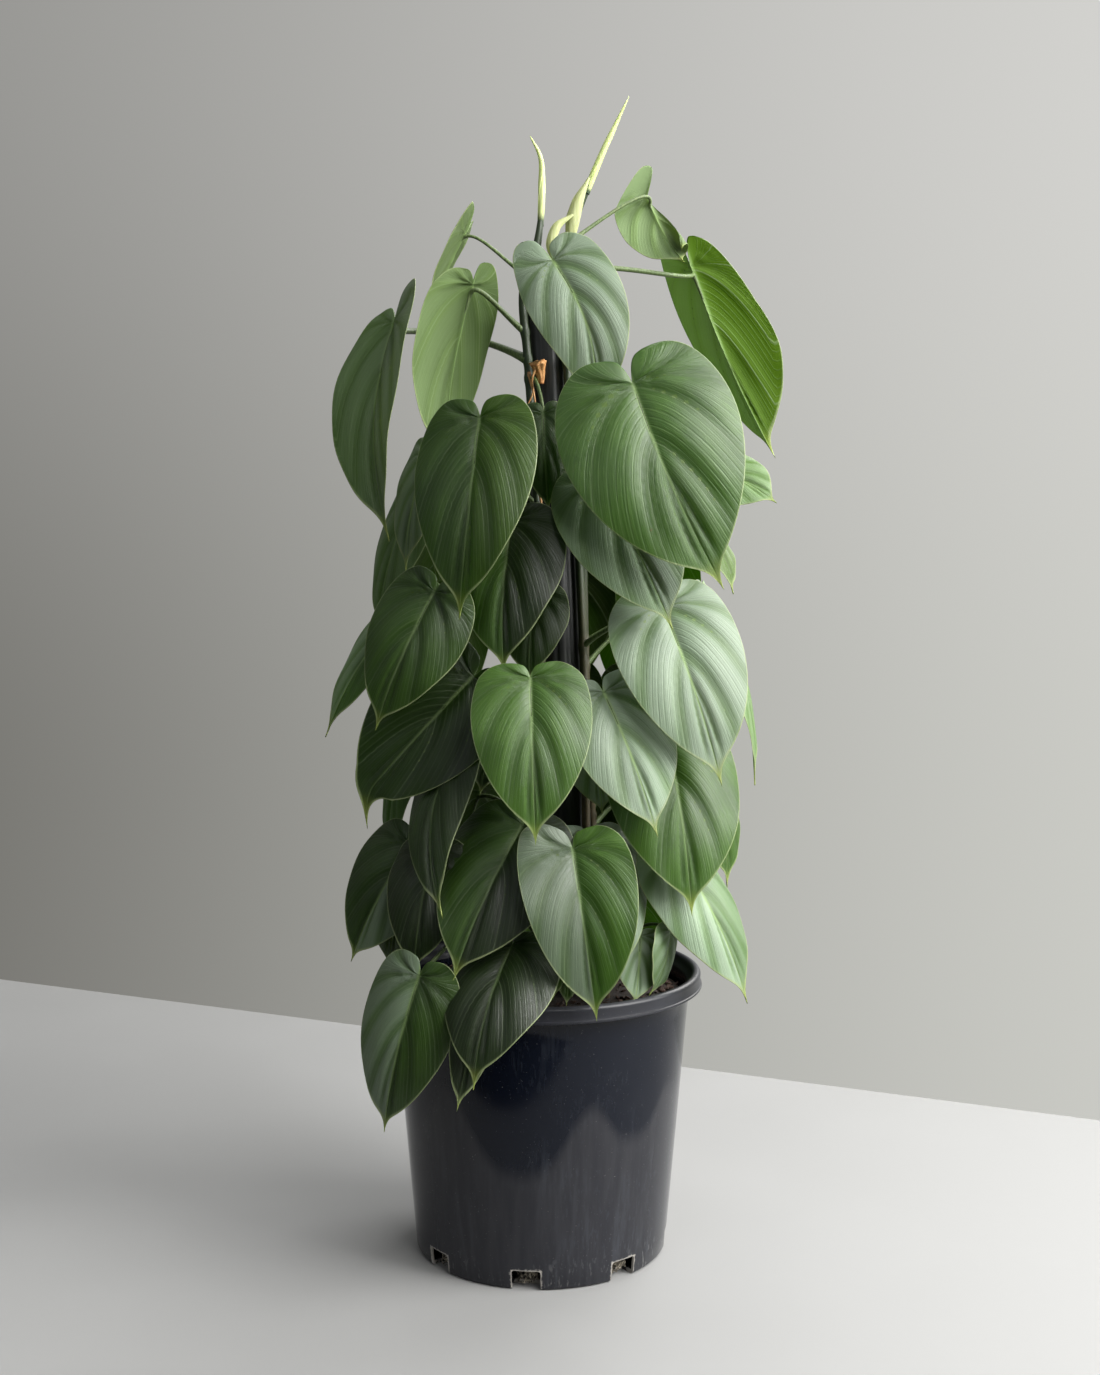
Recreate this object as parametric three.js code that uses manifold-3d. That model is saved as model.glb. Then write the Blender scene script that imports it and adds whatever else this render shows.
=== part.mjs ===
// A heartleaf philodendron trained up a dark pole in a black nursery pot.
// Millimetres, +Z up. The front of the plant looks along -Y and its right side is +X.
// The origin is on the ground, under the centre of the pot's floor.

import * as THREE from "three";
import { mergeVertices } from "three/addons/utils/BufferGeometryUtils.js";
import Module from "manifold-3d";

const wasm = await Module();
wasm.setup();

// Driving dimensions of the pot
const rimRadius = 125;
const potHeight = 217;
const baseRadius = 97.5;
const shoulderRadius = 115;
const rimBandHeight = 11;
const potWall = 2.2;
const potFloor = 3;
const drainNotches = 8;
const drainWidth = 21.6;
const drainHeight = 15;
const drainDepth = 13;
const firstDrainAngle = -6.2;

// Driving dimensions of what fills the pot and stands in it
const soilDrop = 19;
const fitGap = 0.3;
const poleRadius = 18.5;
const poleTopHeight = 733;
const poleFootHeight = 14;
const poleTopX = 4.3;
const poleFootX = 33;

// Driving dimensions of the plant
const bladeThickness = 0.9;
const stemRadius = 3.4;
const stemRootDepth = 45;
const stemRootReach = 36;

const soilTop = potHeight - soilDrop;
const up = new THREE.Vector3(0, 0, 1);

const vec = (list) => new THREE.Vector3(...list);

const radians = THREE.MathUtils.degToRad;

// Compass direction in plan: 0 is the front, 90 the right side, 180 the back
function heading(azimuth) {
  return new THREE.Vector3(Math.sin(radians(azimuth)), -Math.cos(radians(azimuth)), 0);
}

// Solids from closed surfaces
function solidOf(geometry) {
  const bare = geometry.clone();
  bare.deleteAttribute("normal");
  bare.deleteAttribute("uv");
  const merged = mergeVertices(bare, 1e-3);
  const index = merged.index.array;
  const triangles = [];
  for (let k = 0; k < index.length; k += 3) {
    const [a, b, c] = [index[k], index[k + 1], index[k + 2]];
    if (a !== b && b !== c && c !== a) triangles.push(a, b, c);
  }
  const mesh = new wasm.Mesh({
    numProp: 3,
    vertProperties: merged.attributes.position.array,
    triVerts: new Uint32Array(triangles),
  });
  return new wasm.Manifold(mesh);
}

function geometryOf(solid) {
  const mesh = solid.getMesh();
  const geometry = new THREE.BufferGeometry();
  geometry.setAttribute("position", new THREE.BufferAttribute(new Float32Array(mesh.vertProperties), 3));
  geometry.setIndex(new THREE.BufferAttribute(new Uint32Array(mesh.triVerts), 1));
  geometry.computeVertexNormals();
  return geometry;
}

function meshOf(name, solid, look) {
  const mesh = new THREE.Mesh(geometryOf(solid), new THREE.MeshStandardMaterial(look));
  mesh.name = name;
  return mesh;
}

// A round bar along a curve, with flat ends
function barSolid(curve, radius, sides, steps) {
  const section = new THREE.Shape();
  for (let k = 0; k < sides; k += 1) {
    const angle = (2 * Math.PI * k) / sides;
    const [x, y] = [radius * Math.cos(angle), radius * Math.sin(angle)];
    if (k === 0) section.moveTo(x, y);
    else section.lineTo(x, y);
  }
  return solidOf(new THREE.ExtrudeGeometry(section, { steps, extrudePath: curve }));
}

// A round bar whose radius changes along its curve
function taperSolid(curve, radiusAt, sides, steps) {
  const frames = curve.computeFrenetFrames(steps, false);
  const ring = (k) => {
    const centre = curve.getPointAt(k / steps);
    const radius = radiusAt(k / steps);
    return Array.from({ length: sides }, (_, j) => {
      const angle = (2 * Math.PI * j) / sides;
      return centre
        .clone()
        .addScaledVector(frames.normals[k], radius * Math.cos(angle))
        .addScaledVector(frames.binormals[k], radius * Math.sin(angle));
    });
  };
  const corners = [];
  const face = (...points) => points.forEach((point) => corners.push(point.x, point.y, point.z));
  const rings = Array.from({ length: steps + 1 }, (_, k) => ring(k));
  for (let k = 0; k < steps; k += 1) {
    for (let j = 0; j < sides; j += 1) {
      const next = (j + 1) % sides;
      face(rings[k][j], rings[k][next], rings[k + 1][next]);
      face(rings[k][j], rings[k + 1][next], rings[k + 1][j]);
    }
  }
  for (let j = 1; j < sides - 1; j += 1) {
    face(rings[0][0], rings[0][j + 1], rings[0][j]);
    face(rings[steps][0], rings[steps][j], rings[steps][j + 1]);
  }
  const geometry = new THREE.BufferGeometry();
  geometry.setAttribute("position", new THREE.Float32BufferAttribute(corners, 3));
  return solidOf(geometry);
}

// Pot: one turned shell with a banded rim, and drain notches cut at the foot
const potSides = 40;

function makePot() {
  const bandTop = potHeight - 2.5;
  const bandFoot = potHeight - rimBandHeight;
  const profile = [
    [0, 0],
    [baseRadius - 2.5, 0],
    [baseRadius, 2.5],
    [shoulderRadius, bandFoot - 4],
    [rimRadius - 2, bandFoot - 1],
    [rimRadius, bandFoot + 2],
    [rimRadius, bandTop],
    [rimRadius - 4, potHeight],
    [shoulderRadius + 1, bandTop],
    [shoulderRadius - potWall, bandTop - 5],
    [shoulderRadius - potWall, bandFoot - 6],
    [baseRadius - potWall, potFloor],
    [0, potFloor],
  ];
  const outline = profile.map(([r, z]) => new THREE.Vector2(r, z));
  const shell = new THREE.LatheGeometry(outline, potSides).rotateX(Math.PI / 2);
  let pot = solidOf(shell);
  for (let k = 0; k < drainNotches; k += 1) {
    const azimuth = firstDrainAngle + (360 / drainNotches) * k;
    pot = pot.subtract(drainCutter(azimuth));
  }
  return pot;
}

// The cutter of one drain notch: an arch that passes through wall and floor edge
function drainCutter(azimuth) {
  const half = drainWidth / 2;
  const corner = 4;
  const arch = new THREE.Shape();
  arch.moveTo(-half, -2);
  arch.lineTo(half, -2);
  arch.lineTo(half, drainHeight - corner);
  arch.absarc(half - corner, drainHeight - corner, corner, 0, Math.PI / 2);
  arch.absarc(corner - half, drainHeight - corner, corner, Math.PI / 2, Math.PI);
  arch.lineTo(-half, -2);
  const shape = { depth: 2 * drainDepth, bevelEnabled: false, curveSegments: 2 };
  const block = new THREE.ExtrudeGeometry(arch, shape);
  block.rotateX(Math.PI / 2);
  block.translate(0, drainDepth - baseRadius, 0);
  block.rotateZ(radians(azimuth));
  return solidOf(block);
}

// The pole leans a little to the left as it rises
function poleAxis(height) {
  const share = (height - poleFootHeight) / (poleTopHeight - poleFootHeight);
  return new THREE.Vector3(THREE.MathUtils.lerp(poleFootX, poleTopX, share), 0, height);
}

const poleSides = 28;

function cylinderBetween(start, end, radius, sides) {
  const axis = end.clone().sub(start);
  const cylinder = new THREE.CylinderGeometry(radius, radius, axis.length(), sides);
  const cylinderAxis = new THREE.Vector3(0, 1, 0);
  const turn = new THREE.Quaternion().setFromUnitVectors(cylinderAxis, axis.clone().normalize());
  cylinder.applyQuaternion(turn);
  cylinder.translate(...start.clone().lerp(end, 0.5).toArray());
  return solidOf(cylinder);
}

// The pole itself, or with a gap around it, the hole that it stands in
function makePole(gap = 0) {
  const [foot, top] = [poleAxis(poleFootHeight - gap), poleAxis(poleTopHeight)];
  return cylinderBetween(foot, top, poleRadius + gap, poleSides);
}

// Potting mix: a plug inside the pot, drawn in at the drain notches,
// with plain holes for the pole and the stems
const mixSides = 32;
const rootHoleSides = 10;

function makePottingMix(roots) {
  const foot = potFloor + fitGap;
  const innerFoot = baseRadius - potWall - 2 * fitGap;
  const innerTop = shoulderRadius - potWall - 2 * fitGap;
  const recess = 16;
  const recessTop = foot + drainHeight;
  const bandFoot = potHeight - rimBandHeight;
  const radiusAt = (height) => {
    return THREE.MathUtils.mapLinear(height, potFloor, bandFoot - 6, innerFoot, innerTop);
  };
  const outline = [
    [0, foot],
    [innerFoot - recess, foot],
    [innerFoot - recess + 2, recessTop],
    [radiusAt(recessTop + 2), recessTop + 2],
    [radiusAt(soilTop - 3), soilTop - 3],
    [innerTop - 4, soilTop],
    [0.6 * innerTop, soilTop + 1.5],
    [0, soilTop + 3],
  ];
  const points = outline.map(([r, z]) => new THREE.Vector2(r, z));
  let mix = solidOf(new THREE.LatheGeometry(points, mixSides).rotateX(Math.PI / 2));
  mix = mix.subtract(makePole(fitGap));
  roots.forEach((root) => {
    const start = new THREE.Vector3(root.x, root.y, soilTop - stemRootDepth - fitGap);
    const end = new THREE.Vector3(root.x, root.y, potHeight);
    mix = mix.subtract(cylinderBetween(start, end, root.radius + 3 * fitGap, rootHoleSides));
  });
  return mix;
}

// Half outline of a heart-shaped blade: share of its length, share of its half width
const curve2 = (...pairs) => new THREE.CubicBezierCurve(...pairs.map(([x, y]) => new THREE.Vector2(x, y)));
const lobeCurve = curve2([-0.13, 0.22], [-0.21, 0.62], [-0.03, 1], [0.22, 1]);
const flankCurve = curve2([0.22, 1], [0.42, 1], [0.66, 0.64], [0.82, 0.28]);
const dripTipCurve = curve2([0.82, 0.28], [0.88, 0.14], [0.9, 0.05], [1, 0]);
const lobeEnd = 0.38;
const flankEnd = 0.78;

function marginAt(s) {
  if (s < lobeEnd) return lobeCurve.getPoint(s / lobeEnd);
  if (s < flankEnd) return flankCurve.getPoint((s - lobeEnd) / (flankEnd - lobeEnd));
  return dripTipCurve.getPoint((s - flankEnd) / (1 - flankEnd));
}

// Where the side vein that ends at margin place s leaves the midrib
const veinFootAt = (s) => Math.max((s - 0.25) / 0.75, 0) ** 1.3;

// The usual form of a blade, which a leaf's own values override:
// bow and sweep of the midrib, fold and droop of the halves, a hooked tip,
// how far the left and right margins slide toward the tip, how far the stalk is bent aside
// and where along the midrib it joins
const usualBlade = {
  arch: 0.07,
  sweep: 0,
  rise: 0.22,
  droop: 0.42,
  wave: 0.03,
  phase: 0,
  hook: [0, 0],
  pull: [0, 0],
  bend: [0, 0, 0],
  joint: 0.04,
};

class Blade {
  constructor(leaf) {
    Object.assign(this, usualBlade, leaf);
    this.base = vec(leaf.notch);
    const chord = vec(leaf.tip).sub(this.base);
    this.length = chord.length();
    this.along = chord.normalize();
    const outward = heading(leaf.facing);
    this.face = outward.addScaledVector(this.along, -outward.dot(this.along)).normalize();
    this.right = this.face.clone().cross(this.along);
  }

  ribPoint(v) {
    const bow = Math.sin(Math.PI * Math.max(v, 0));
    const end = Math.max((v - 0.78) / 0.22, 0) ** 2;
    return this.base
      .clone()
      .addScaledVector(this.along, v * this.length)
      .addScaledVector(this.face, (this.arch * bow + this.hook[1] * end) * this.length)
      .addScaledVector(this.right, (this.sweep * bow + this.hook[0] * end) * this.length);
  }

  // Point and facing of the blade's middle surface; side is 1 for its right half, -1 for its left
  surface(s, t, side) {
    const edge = marginAt(s);
    const foot = veinFootAt(s);
    const bend = foot + 0.35 * (edge.x - foot) - 0.02 * edge.y;
    const blend = (a, b, c) => (1 - t) * (1 - t) * a + 2 * t * (1 - t) * b + t * t * c;
    const across = blend(0, 0.55 * edge.y, edge.y);
    const flatAlong = blend(foot, bend, edge.x);
    const slide = side > 0 ? this.pull[1] : this.pull[0];
    const place = flatAlong + slide * across * (1 - THREE.MathUtils.clamp(flatAlong, 0, 1));
    const v = THREE.MathUtils.clamp(place, 0, 1);
    const ahead = this.ribPoint(v + 0.001);
    const tangent = ahead.sub(this.ribPoint(Math.max(v - 0.001, 0))).normalize();
    const sideways = this.right.clone().addScaledVector(tangent, -this.right.dot(tangent)).normalize();
    const normal = tangent.clone().cross(sideways);
    const ripple = this.wave * Math.sin(2 * Math.PI * (1.6 * place + this.phase + 0.25 * side));
    const lift = this.rise * across - (this.droop - ripple) * across * across;
    const half = this.width / 2;
    const point = this.ribPoint(v)
      .addScaledVector(tangent, (place - v) * this.length)
      .addScaledVector(sideways, side * across * half)
      .addScaledVector(normal, lift * half);
    return { point, normal };
  }
}

// Rows of a blade's mesh along the margin, and its columns from midrib to margin
const largeBladeRows = [0, 0.14, 0.25, 0.38, 0.53, 0.67, 0.82, 1];
const smallBladeRows = [0, 0.16, 0.34, 0.56, 0.8, 1];
const smallBladeLength = 138;
const bladeColumns = [0, 0.5, 1];

function bladeSolid(blade) {
  const corners = [];
  const quad = (order, a, b, c, d) => {
    const ring = order > 0 ? [a, b, c, a, c, d] : [a, c, b, a, d, c];
    ring.forEach((point) => corners.push(point.x, point.y, point.z));
  };
  const marginRows = blade.length < smallBladeLength ? smallBladeRows : largeBladeRows;
  const lastColumn = bladeColumns.length - 1;
  [1, -1].forEach((side) => {
    const grid = marginRows.map((s) => bladeColumns.map((t) => {
      const { point, normal } = blade.surface(s, t, side);
      const front = point.clone().addScaledVector(normal, bladeThickness / 2);
      const back = point.clone().addScaledVector(normal, -bladeThickness / 2);
      return { front, back };
    }));
    for (let i = 0; i < marginRows.length - 1; i += 1) {
      for (let j = 0; j < lastColumn; j += 1) {
        const cell = [grid[i][j], grid[i + 1][j], grid[i + 1][j + 1], grid[i][j + 1]];
        quad(side, ...cell.map((corner) => corner.front));
        quad(-side, ...cell.map((corner) => corner.back));
      }
      const [upper, lower] = [grid[i][lastColumn], grid[i + 1][lastColumn]];
      quad(side, upper.front, lower.front, lower.back, upper.back);
    }
    for (let j = 0; j < lastColumn; j += 1) {
      const [inner, outer] = [grid[0][j], grid[0][j + 1]];
      quad(side, inner.front, outer.front, outer.back, inner.back);
    }
  });
  const geometry = new THREE.BufferGeometry();
  geometry.setAttribute("position", new THREE.Float32BufferAttribute(corners, 3));
  return solidOf(geometry);
}

// The stalk of a leaf: from inside its stem, out and up, to the blade's notch from behind
const stalkSides = 5;
const stalkSteps = 3;
const stalkRadius = (blade) => 1.1 + 0.008 * blade.length;

function stalkSolid(blade, stem) {
  const start = stem.pointAt(Math.max(blade.node ?? blade.base.z - 32, soilTop + 14));
  const end = blade.ribPoint(blade.joint);
  const reach = end.clone().sub(start);
  const span = reach.length();
  const outward = new THREE.Vector3(reach.x, reach.y, 0).normalize();
  const leave = start.clone().addScaledVector(outward, 0.35 * span).addScaledVector(up, 0.25 * span);
  const arrive = end.clone().addScaledVector(blade.face, -0.22 * span).addScaledVector(up, 0.12 * span);
  leave.add(vec(blade.bend));
  arrive.add(vec(blade.bend));
  const path = new THREE.CubicBezierCurve3(start, leave, arrive, end);
  return barSolid(path, stalkRadius(blade), stalkSides, stalkSteps);
}

// A stem rises from the soil, and climbs beside the pole at its own azimuth with a little wander
const stemSides = 6;
const stemClearance = 1;
const climbStart = soilTop + 60;
const climbStage = 54;

class Stem {
  constructor({ azimuth, top, radius = stemRadius, wander = 7, phase = 0, shoot = [] }) {
    Object.assign(this, { azimuth, top, radius, wander, phase, shoot });
    const root = heading(azimuth).multiplyScalar(stemRootReach).add(poleAxis(soilTop));
    this.root = { x: root.x, y: root.y, radius };
    const footHeights = [soilTop - stemRootDepth, soilTop - 15, soilTop + 4, soilTop + 12];
    const points = footHeights.map((height) => new THREE.Vector3(root.x, root.y, height));
    const stages = Math.round((top - climbStart) / climbStage);
    for (let k = 0; k <= stages; k += 1) {
      points.push(this.beside(THREE.MathUtils.lerp(climbStart, top, k / stages)));
    }
    shoot.forEach((point) => points.push(vec(point)));
    this.curve = new THREE.CatmullRomCurve3(points, false, "centripetal");
    this.steps = Math.round((points.length - 1) * 1.5);
    this.trace = this.curve.getPoints(200);
  }

  beside(height) {
    const turn = this.azimuth + this.wander * Math.sin(height / 70 + this.phase);
    const reach = poleRadius + this.radius + stemClearance;
    return heading(turn).multiplyScalar(reach).add(poleAxis(height));
  }

  pointAt(height) {
    const nearer = (best, point) => (Math.abs(point.z - height) < Math.abs(best.z - height) ? point : best);
    return this.trace.reduce(nearer);
  }

  solid() {
    return barSolid(this.curve, this.radius, stemSides, this.steps);
  }
}

// The stems, by where they climb
const stems = {
  frontLeft: new Stem({ azimuth: -42, top: 735, shoot: [[-3, -13, 766], [0, -10, 786]] }),
  frontRight: new Stem({ azimuth: 42, top: 735, phase: 1, shoot: [[24, -8, 782], [36, -10, 812]] }),
  right: new Stem({ azimuth: 118, top: 640, phase: 2 }),
  back: new Stem({ azimuth: 182, top: 690, phase: 3, shoot: [[5, 27, 722]] }),
  left: new Stem({ azimuth: -112, top: 590, phase: 4 }),
};

// Leaves seen from the front: where the blade meets its stalk, where it ends, its full width
// and which way it faces. A node value is the height at which the stalk leaves the stem.
const leaves = {
  frontLeft: [
    { notch: [-57, 0, 785], tip: [-80, -14, 705], width: 36, facing: -100,
      rise: 0.12, droop: 0.05, node: 745 },
    { notch: [-51, -30, 736], tip: [-68, -52, 594], width: 76, facing: -142,
      rise: 0.3, droop: 0.1, pull: [0, 0.08], node: 703 },
    { notch: [-110, -20, 710], tip: [-110, -45, 546], width: 70, facing: -45,
      rise: 0.42, droop: 0.1, sweep: -0.04, pull: [0.1, -0.1], node: 682, bend: [0, 46, 0] },
    { notch: [2, -48, 640], tip: [6, -53, 566], width: 40, facing: -5, node: 668 },
    { notch: [-43, -88, 633], tip: [-57, -108, 490], width: 88, facing: -10 },
    { notch: [-82, -50, 611], tip: [-100, -45, 524], width: 46, facing: -40, node: 576 },
    { notch: [-21, -62, 561], tip: [-26, -88, 450], width: 80, facing: -5, node: 540 },
    { notch: [-4, -40, 509], tip: [-8, -50, 442], width: 54, facing: 10, node: 468 },
    { notch: [-76, -80, 510], tip: [-120, -75, 409], width: 76, facing: -22 },
    { notch: [-7, -98, 449], tip: [-3, -126, 333], width: 86, facing: 0 },
    { notch: [-49, -66, 448], tip: [-141, -52, 346], width: 94, facing: -20,
      rise: 0.25, droop: 0.1, arch: 0.03, hook: [0.13, 0], node: 436 },
    { notch: [-32, -45, 425], tip: [-45, -60, 358], width: 44, facing: 0, node: 398 },
    { notch: [-63, -56, 398], tip: [-69, -119, 280], width: 60, facing: -25, sweep: -0.07, node: 372 },
    { notch: [-13, -80, 341], tip: [-62, -125, 235], width: 92, facing: -8, node: 322 },
    { notch: [-20, -105, 259], tip: [-46, -156, 168], width: 80, facing: -6, arch: 0.13, node: 240 },
    { notch: [-41, -126, 224], tip: [-58, -143, 149], width: 34, facing: -12, arch: 0.03, node: 222 },
    { notch: [-86, -114, 238], tip: [-113, -102, 120], width: 72, facing: -22, node: 256 },
    { notch: [16, -70, 261], tip: [9, -80, 211], width: 26, facing: 50, node: 232 },
  ],
  frontRight: [
    { notch: [84, 20, 826], tip: [108, -8, 755], width: 60, facing: 205,
      rise: 0.7, droop: 0.1, pull: [0.12, 0.3], node: 770, joint: 0.25 },
    { notch: [116, 24, 759], tip: [183, 28, 607], width: 88, facing: 148,
      rise: 0.65, droop: 0.1, sweep: 0.05, pull: [0.12, 0], node: 748, bend: [0, 0, -17] },
    { notch: [8, -60, 747], tip: [43, -76, 634], width: 80, facing: -3, sweep: 0.05 },
    { notch: [65, -92, 655], tip: [129, -112, 506], width: 130, facing: 5, node: 680 },
    { notch: [42, -68, 591], tip: [95, -92, 482], width: 88, facing: 5 },
    { notch: [89, -62, 499], tip: [132, -98, 369], width: 98, facing: 12 },
    { notch: [46, -72, 437], tip: [88, -102, 332], width: 78, facing: 8 },
    { notch: [37, -40, 406], tip: [46, -50, 343], width: 50, facing: 10, node: 384 },
    { notch: [94, -52, 401], tip: [110, -88, 263], width: 102, facing: 12, node: 362 },
    { notch: [23, -112, 329], tip: [40, -130, 208], width: 84, facing: 3, node: 312, bend: [-3, 0, 18] },
    { notch: [36, -68, 327], tip: [49, -96, 220], width: 86, facing: 24, node: 276 },
    { notch: [23, -60, 240], tip: [19, -70, 204], width: 22, facing: -10, node: 226 },
    { notch: [74, -60, 255], tip: [69, -78, 207], width: 40, facing: 10, node: 246 },
    { notch: [97, -62, 259], tip: [80, -75, 213], width: 40, facing: 60, node: 232, bend: [4, 14, 0] },
  ],
  right: [
    { notch: [132, 10, 613], tip: [179, -10, 575], width: 70, facing: 40 },
    { notch: [119, 4, 580], tip: [148, -19, 504], width: 58, facing: 40, node: 562 },
    { notch: [133, 20, 502], tip: [168, 0, 359], width: 76, facing: 60 },
    { notch: [124, 10, 378], tip: [145, 0, 279], width: 70, facing: 50 },
    { notch: [98, -56, 321], tip: [153, -70, 206], width: 80, facing: 41,
      rise: 0.1, droop: 0.5, node: 274 },
    { notch: [46, 30, 354], tip: [41, 42, 300], width: 44, facing: 168, node: 334 },
  ],
  left: [
    { notch: [-91, -5, 594], tip: [-125, 5, 472], width: 66, facing: -55 },
    { notch: [-59, -16, 555], tip: [-62, -8, 472], width: 44, facing: 172, node: 536 },
    { notch: [-90, -50, 509], tip: [-162, -35, 400], width: 62, facing: -58, node: 482 },
    { notch: [-104, -4, 393], tip: [-115, -2, 299], width: 50, facing: -60, node: 352 },
    { notch: [-78, -76, 321], tip: [-91, -94, 233], width: 66, facing: -22, node: 300 },
    { notch: [-97, -52, 322], tip: [-143, -44, 231], width: 80, facing: -30, node: 274 },
    { notch: [-98, -36, 299], tip: [-114, -46, 225], width: 58, facing: -35, node: 248 },
  ],
  back: [
    { notch: [26, 44, 750], tip: [30, 62, 684], width: 56, facing: 165, node: 700 },
  ],
};

// The far side, out of the front view: leaves in columns, each overlapping the one below
const farColumns = [
  { stem: "right", azimuth: 134, reach: 94, heights: [640, 566, 494, 424, 356] },
  { stem: "back", azimuth: 184, reach: 70, heights: [672, 598, 524, 450, 376] },
  { stem: "left", azimuth: -128, reach: 94, heights: [578, 502, 428, 356] },
];
const rimHangers = [
  { stem: "right", azimuth: 150, reach: 122, heights: [262] },
  { stem: "back", azimuth: 190, reach: 126, heights: [286] },
  { stem: "left", azimuth: -132, reach: 132, heights: [262] },
];

// Small repeatable differences between one leaf and the next
function seededDraw(seed) {
  const modulus = 2147483647;
  let state = seed;
  return (low, high) => {
    state = (state * 16807) % modulus;
    return low + ((high - low) * state) / modulus;
  };
}

const farSideSeed = 67;

function growFarSide() {
  const draw = seededDraw(farSideSeed);
  [...farColumns, ...rimHangers].forEach(({ stem, azimuth, reach, heights }) => {
    heights.forEach((height) => {
      const turn = azimuth + draw(-9, 9);
      const length = draw(108, 137);
      const notch = heading(turn).multiplyScalar(reach + draw(-6, 6)).add(poleAxis(height + draw(-12, 12)));
      const lean = heading(turn + draw(-45, 45)).multiplyScalar(draw(18, 32));
      const tip = notch.clone().add(lean).addScaledVector(up, -length);
      leaves[stem].push({
        notch: notch.toArray(),
        tip: tip.toArray(),
        width: length * draw(0.72, 0.84),
        facing: turn + draw(-12, 12),
        phase: draw(0, 1),
      });
    });
  });
}
growFarSide();

// Young growth: rolled leaves and the papery sheaths they come out of
const leftRolledLeaf = {
  path: [[0, -10, 782], [1, -10, 812], [0, -10, 832], [-8, -10, 848.5]],
  radii: [2.4, 2.9, 1.9, 0.4],
};
const rightRolledLeaf = {
  path: [[34, -10, 806], [40, -10, 821], [50, -10, 844], [66, -10, 877.5]],
  radii: [2.6, 2.9, 2.5, 0.4],
};
const upperSheath = {
  path: [[22, -9, 772], [24, -11, 786], [28, -12, 800], [36, -12, 817]],
  radii: [3.6, 5.6, 4.6, 0.7],
};
const lowerSheath = {
  path: [[14, -14, 752], [8, -17, 766], [12, -18, 780], [24, -17, 789]],
  radii: [2.2, 4.2, 3.6, 0.8],
};
const backRolledLeaf = {
  path: [[5, 27, 719], [6, 30, 738], [4, 33, 752], [-3, 36, 768]],
  radii: [2.6, 2.8, 2, 0.4],
};
const shoots = {
  frontLeft: [leftRolledLeaf],
  frontRight: [rightRolledLeaf, upperSheath, lowerSheath],
  right: [],
  back: [backRolledLeaf],
  left: [],
};

// Heights at which a stem puts out an aerial root
const rootHeights = { frontLeft: [676, 596], frontRight: [], right: [560], back: [520], left: [480] };

const shootSides = 6;
const shootSteps = 6;

function shootSolid({ path, radii }) {
  const curve = new THREE.CatmullRomCurve3(path.map(vec), false, "centripetal");
  const radiusAt = (share) => {
    const place = share * (radii.length - 1);
    const k = Math.min(Math.floor(place), radii.length - 2);
    return THREE.MathUtils.lerp(radii[k], radii[k + 1], place - k);
  };
  return taperSolid(curve, radiusAt, shootSides, shootSteps);
}

// An aerial root leaves its stem sideways and hangs beside it
const aerialRootSides = 5;

function aerialRootSolid(stem, height) {
  const out = heading(stem.azimuth);
  const aside = heading(stem.azimuth + 90);
  const start = stem.pointAt(height);
  const steps = [[0, 0, 0], [3, 4, -5], [3, 7, -14], [1, 8, -26]];
  const path = steps.map(([outward, sideways, drop]) => start
    .clone()
    .addScaledVector(out, outward)
    .addScaledVector(aside, sideways)
    .addScaledVector(up, drop));
  const curve = new THREE.CatmullRomCurve3(path, false, "centripetal");
  const radiusAt = (share) => 1.7 - share;
  return taperSolid(curve, radiusAt, aerialRootSides, 5);
}

function makeVine(place) {
  const stem = stems[place];
  let vine = stem.solid();
  leaves[place].forEach((leaf) => {
    const blade = new Blade(leaf);
    vine = vine.add(bladeSolid(blade)).add(stalkSolid(blade, stem));
  });
  shoots[place].forEach((shoot) => {
    vine = vine.add(shootSolid(shoot));
  });
  rootHeights[place].forEach((height) => {
    vine = vine.add(aerialRootSolid(stem, height));
  });
  return vine;
}

const plant = new THREE.Group();
plant.add(meshOf("pot", makePot(), { color: 0x15171d, roughness: 0.32, metalness: 0 }));
plant.add(meshOf("pole", makePole(), { color: 0x0b0c0c, roughness: 0.6, metalness: 0 }));
const roots = Object.values(stems).map((stem) => stem.root);
plant.add(meshOf("potting_mix", makePottingMix(roots), { color: 0x2c1e14, roughness: 0.95, metalness: 0 }));
Object.keys(stems).forEach((place) => {
  const name = `vine_${place.replace(/[A-Z]/g, (letter) => `_${letter.toLowerCase()}`)}`;
  plant.add(meshOf(name, makeVine(place), { color: 0x35592a, roughness: 0.42, metalness: 0 }));
});

export default plant;
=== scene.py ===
import math
import random

import bmesh
import bpy
import numpy as np
from mathutils import Matrix, Vector


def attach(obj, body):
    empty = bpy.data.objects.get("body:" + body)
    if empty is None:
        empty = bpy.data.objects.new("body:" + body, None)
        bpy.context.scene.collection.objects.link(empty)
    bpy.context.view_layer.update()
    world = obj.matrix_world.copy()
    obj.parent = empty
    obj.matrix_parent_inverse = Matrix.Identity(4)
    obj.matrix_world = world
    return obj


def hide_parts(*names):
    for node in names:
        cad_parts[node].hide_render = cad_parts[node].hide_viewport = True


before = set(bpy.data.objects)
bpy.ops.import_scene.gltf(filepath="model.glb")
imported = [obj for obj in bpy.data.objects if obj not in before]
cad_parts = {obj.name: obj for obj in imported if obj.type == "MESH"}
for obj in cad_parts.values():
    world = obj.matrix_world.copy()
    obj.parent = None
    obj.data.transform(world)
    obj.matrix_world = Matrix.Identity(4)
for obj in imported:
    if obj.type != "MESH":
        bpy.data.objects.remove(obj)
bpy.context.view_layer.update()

# Potted heartleaf philodendron on a dark pole. Sizes are in millimetres until a mesh is made.
mm = 0.001
up = np.array([0.0, 0.0, 1.0])
print("frame loaded:", len(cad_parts), "nodes")


def capital(name):
    return name[0].upper() + name[1:]


def unit(v):
    return v / np.maximum(np.linalg.norm(v, axis=-1, keepdims=True), 1e-9)


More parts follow.
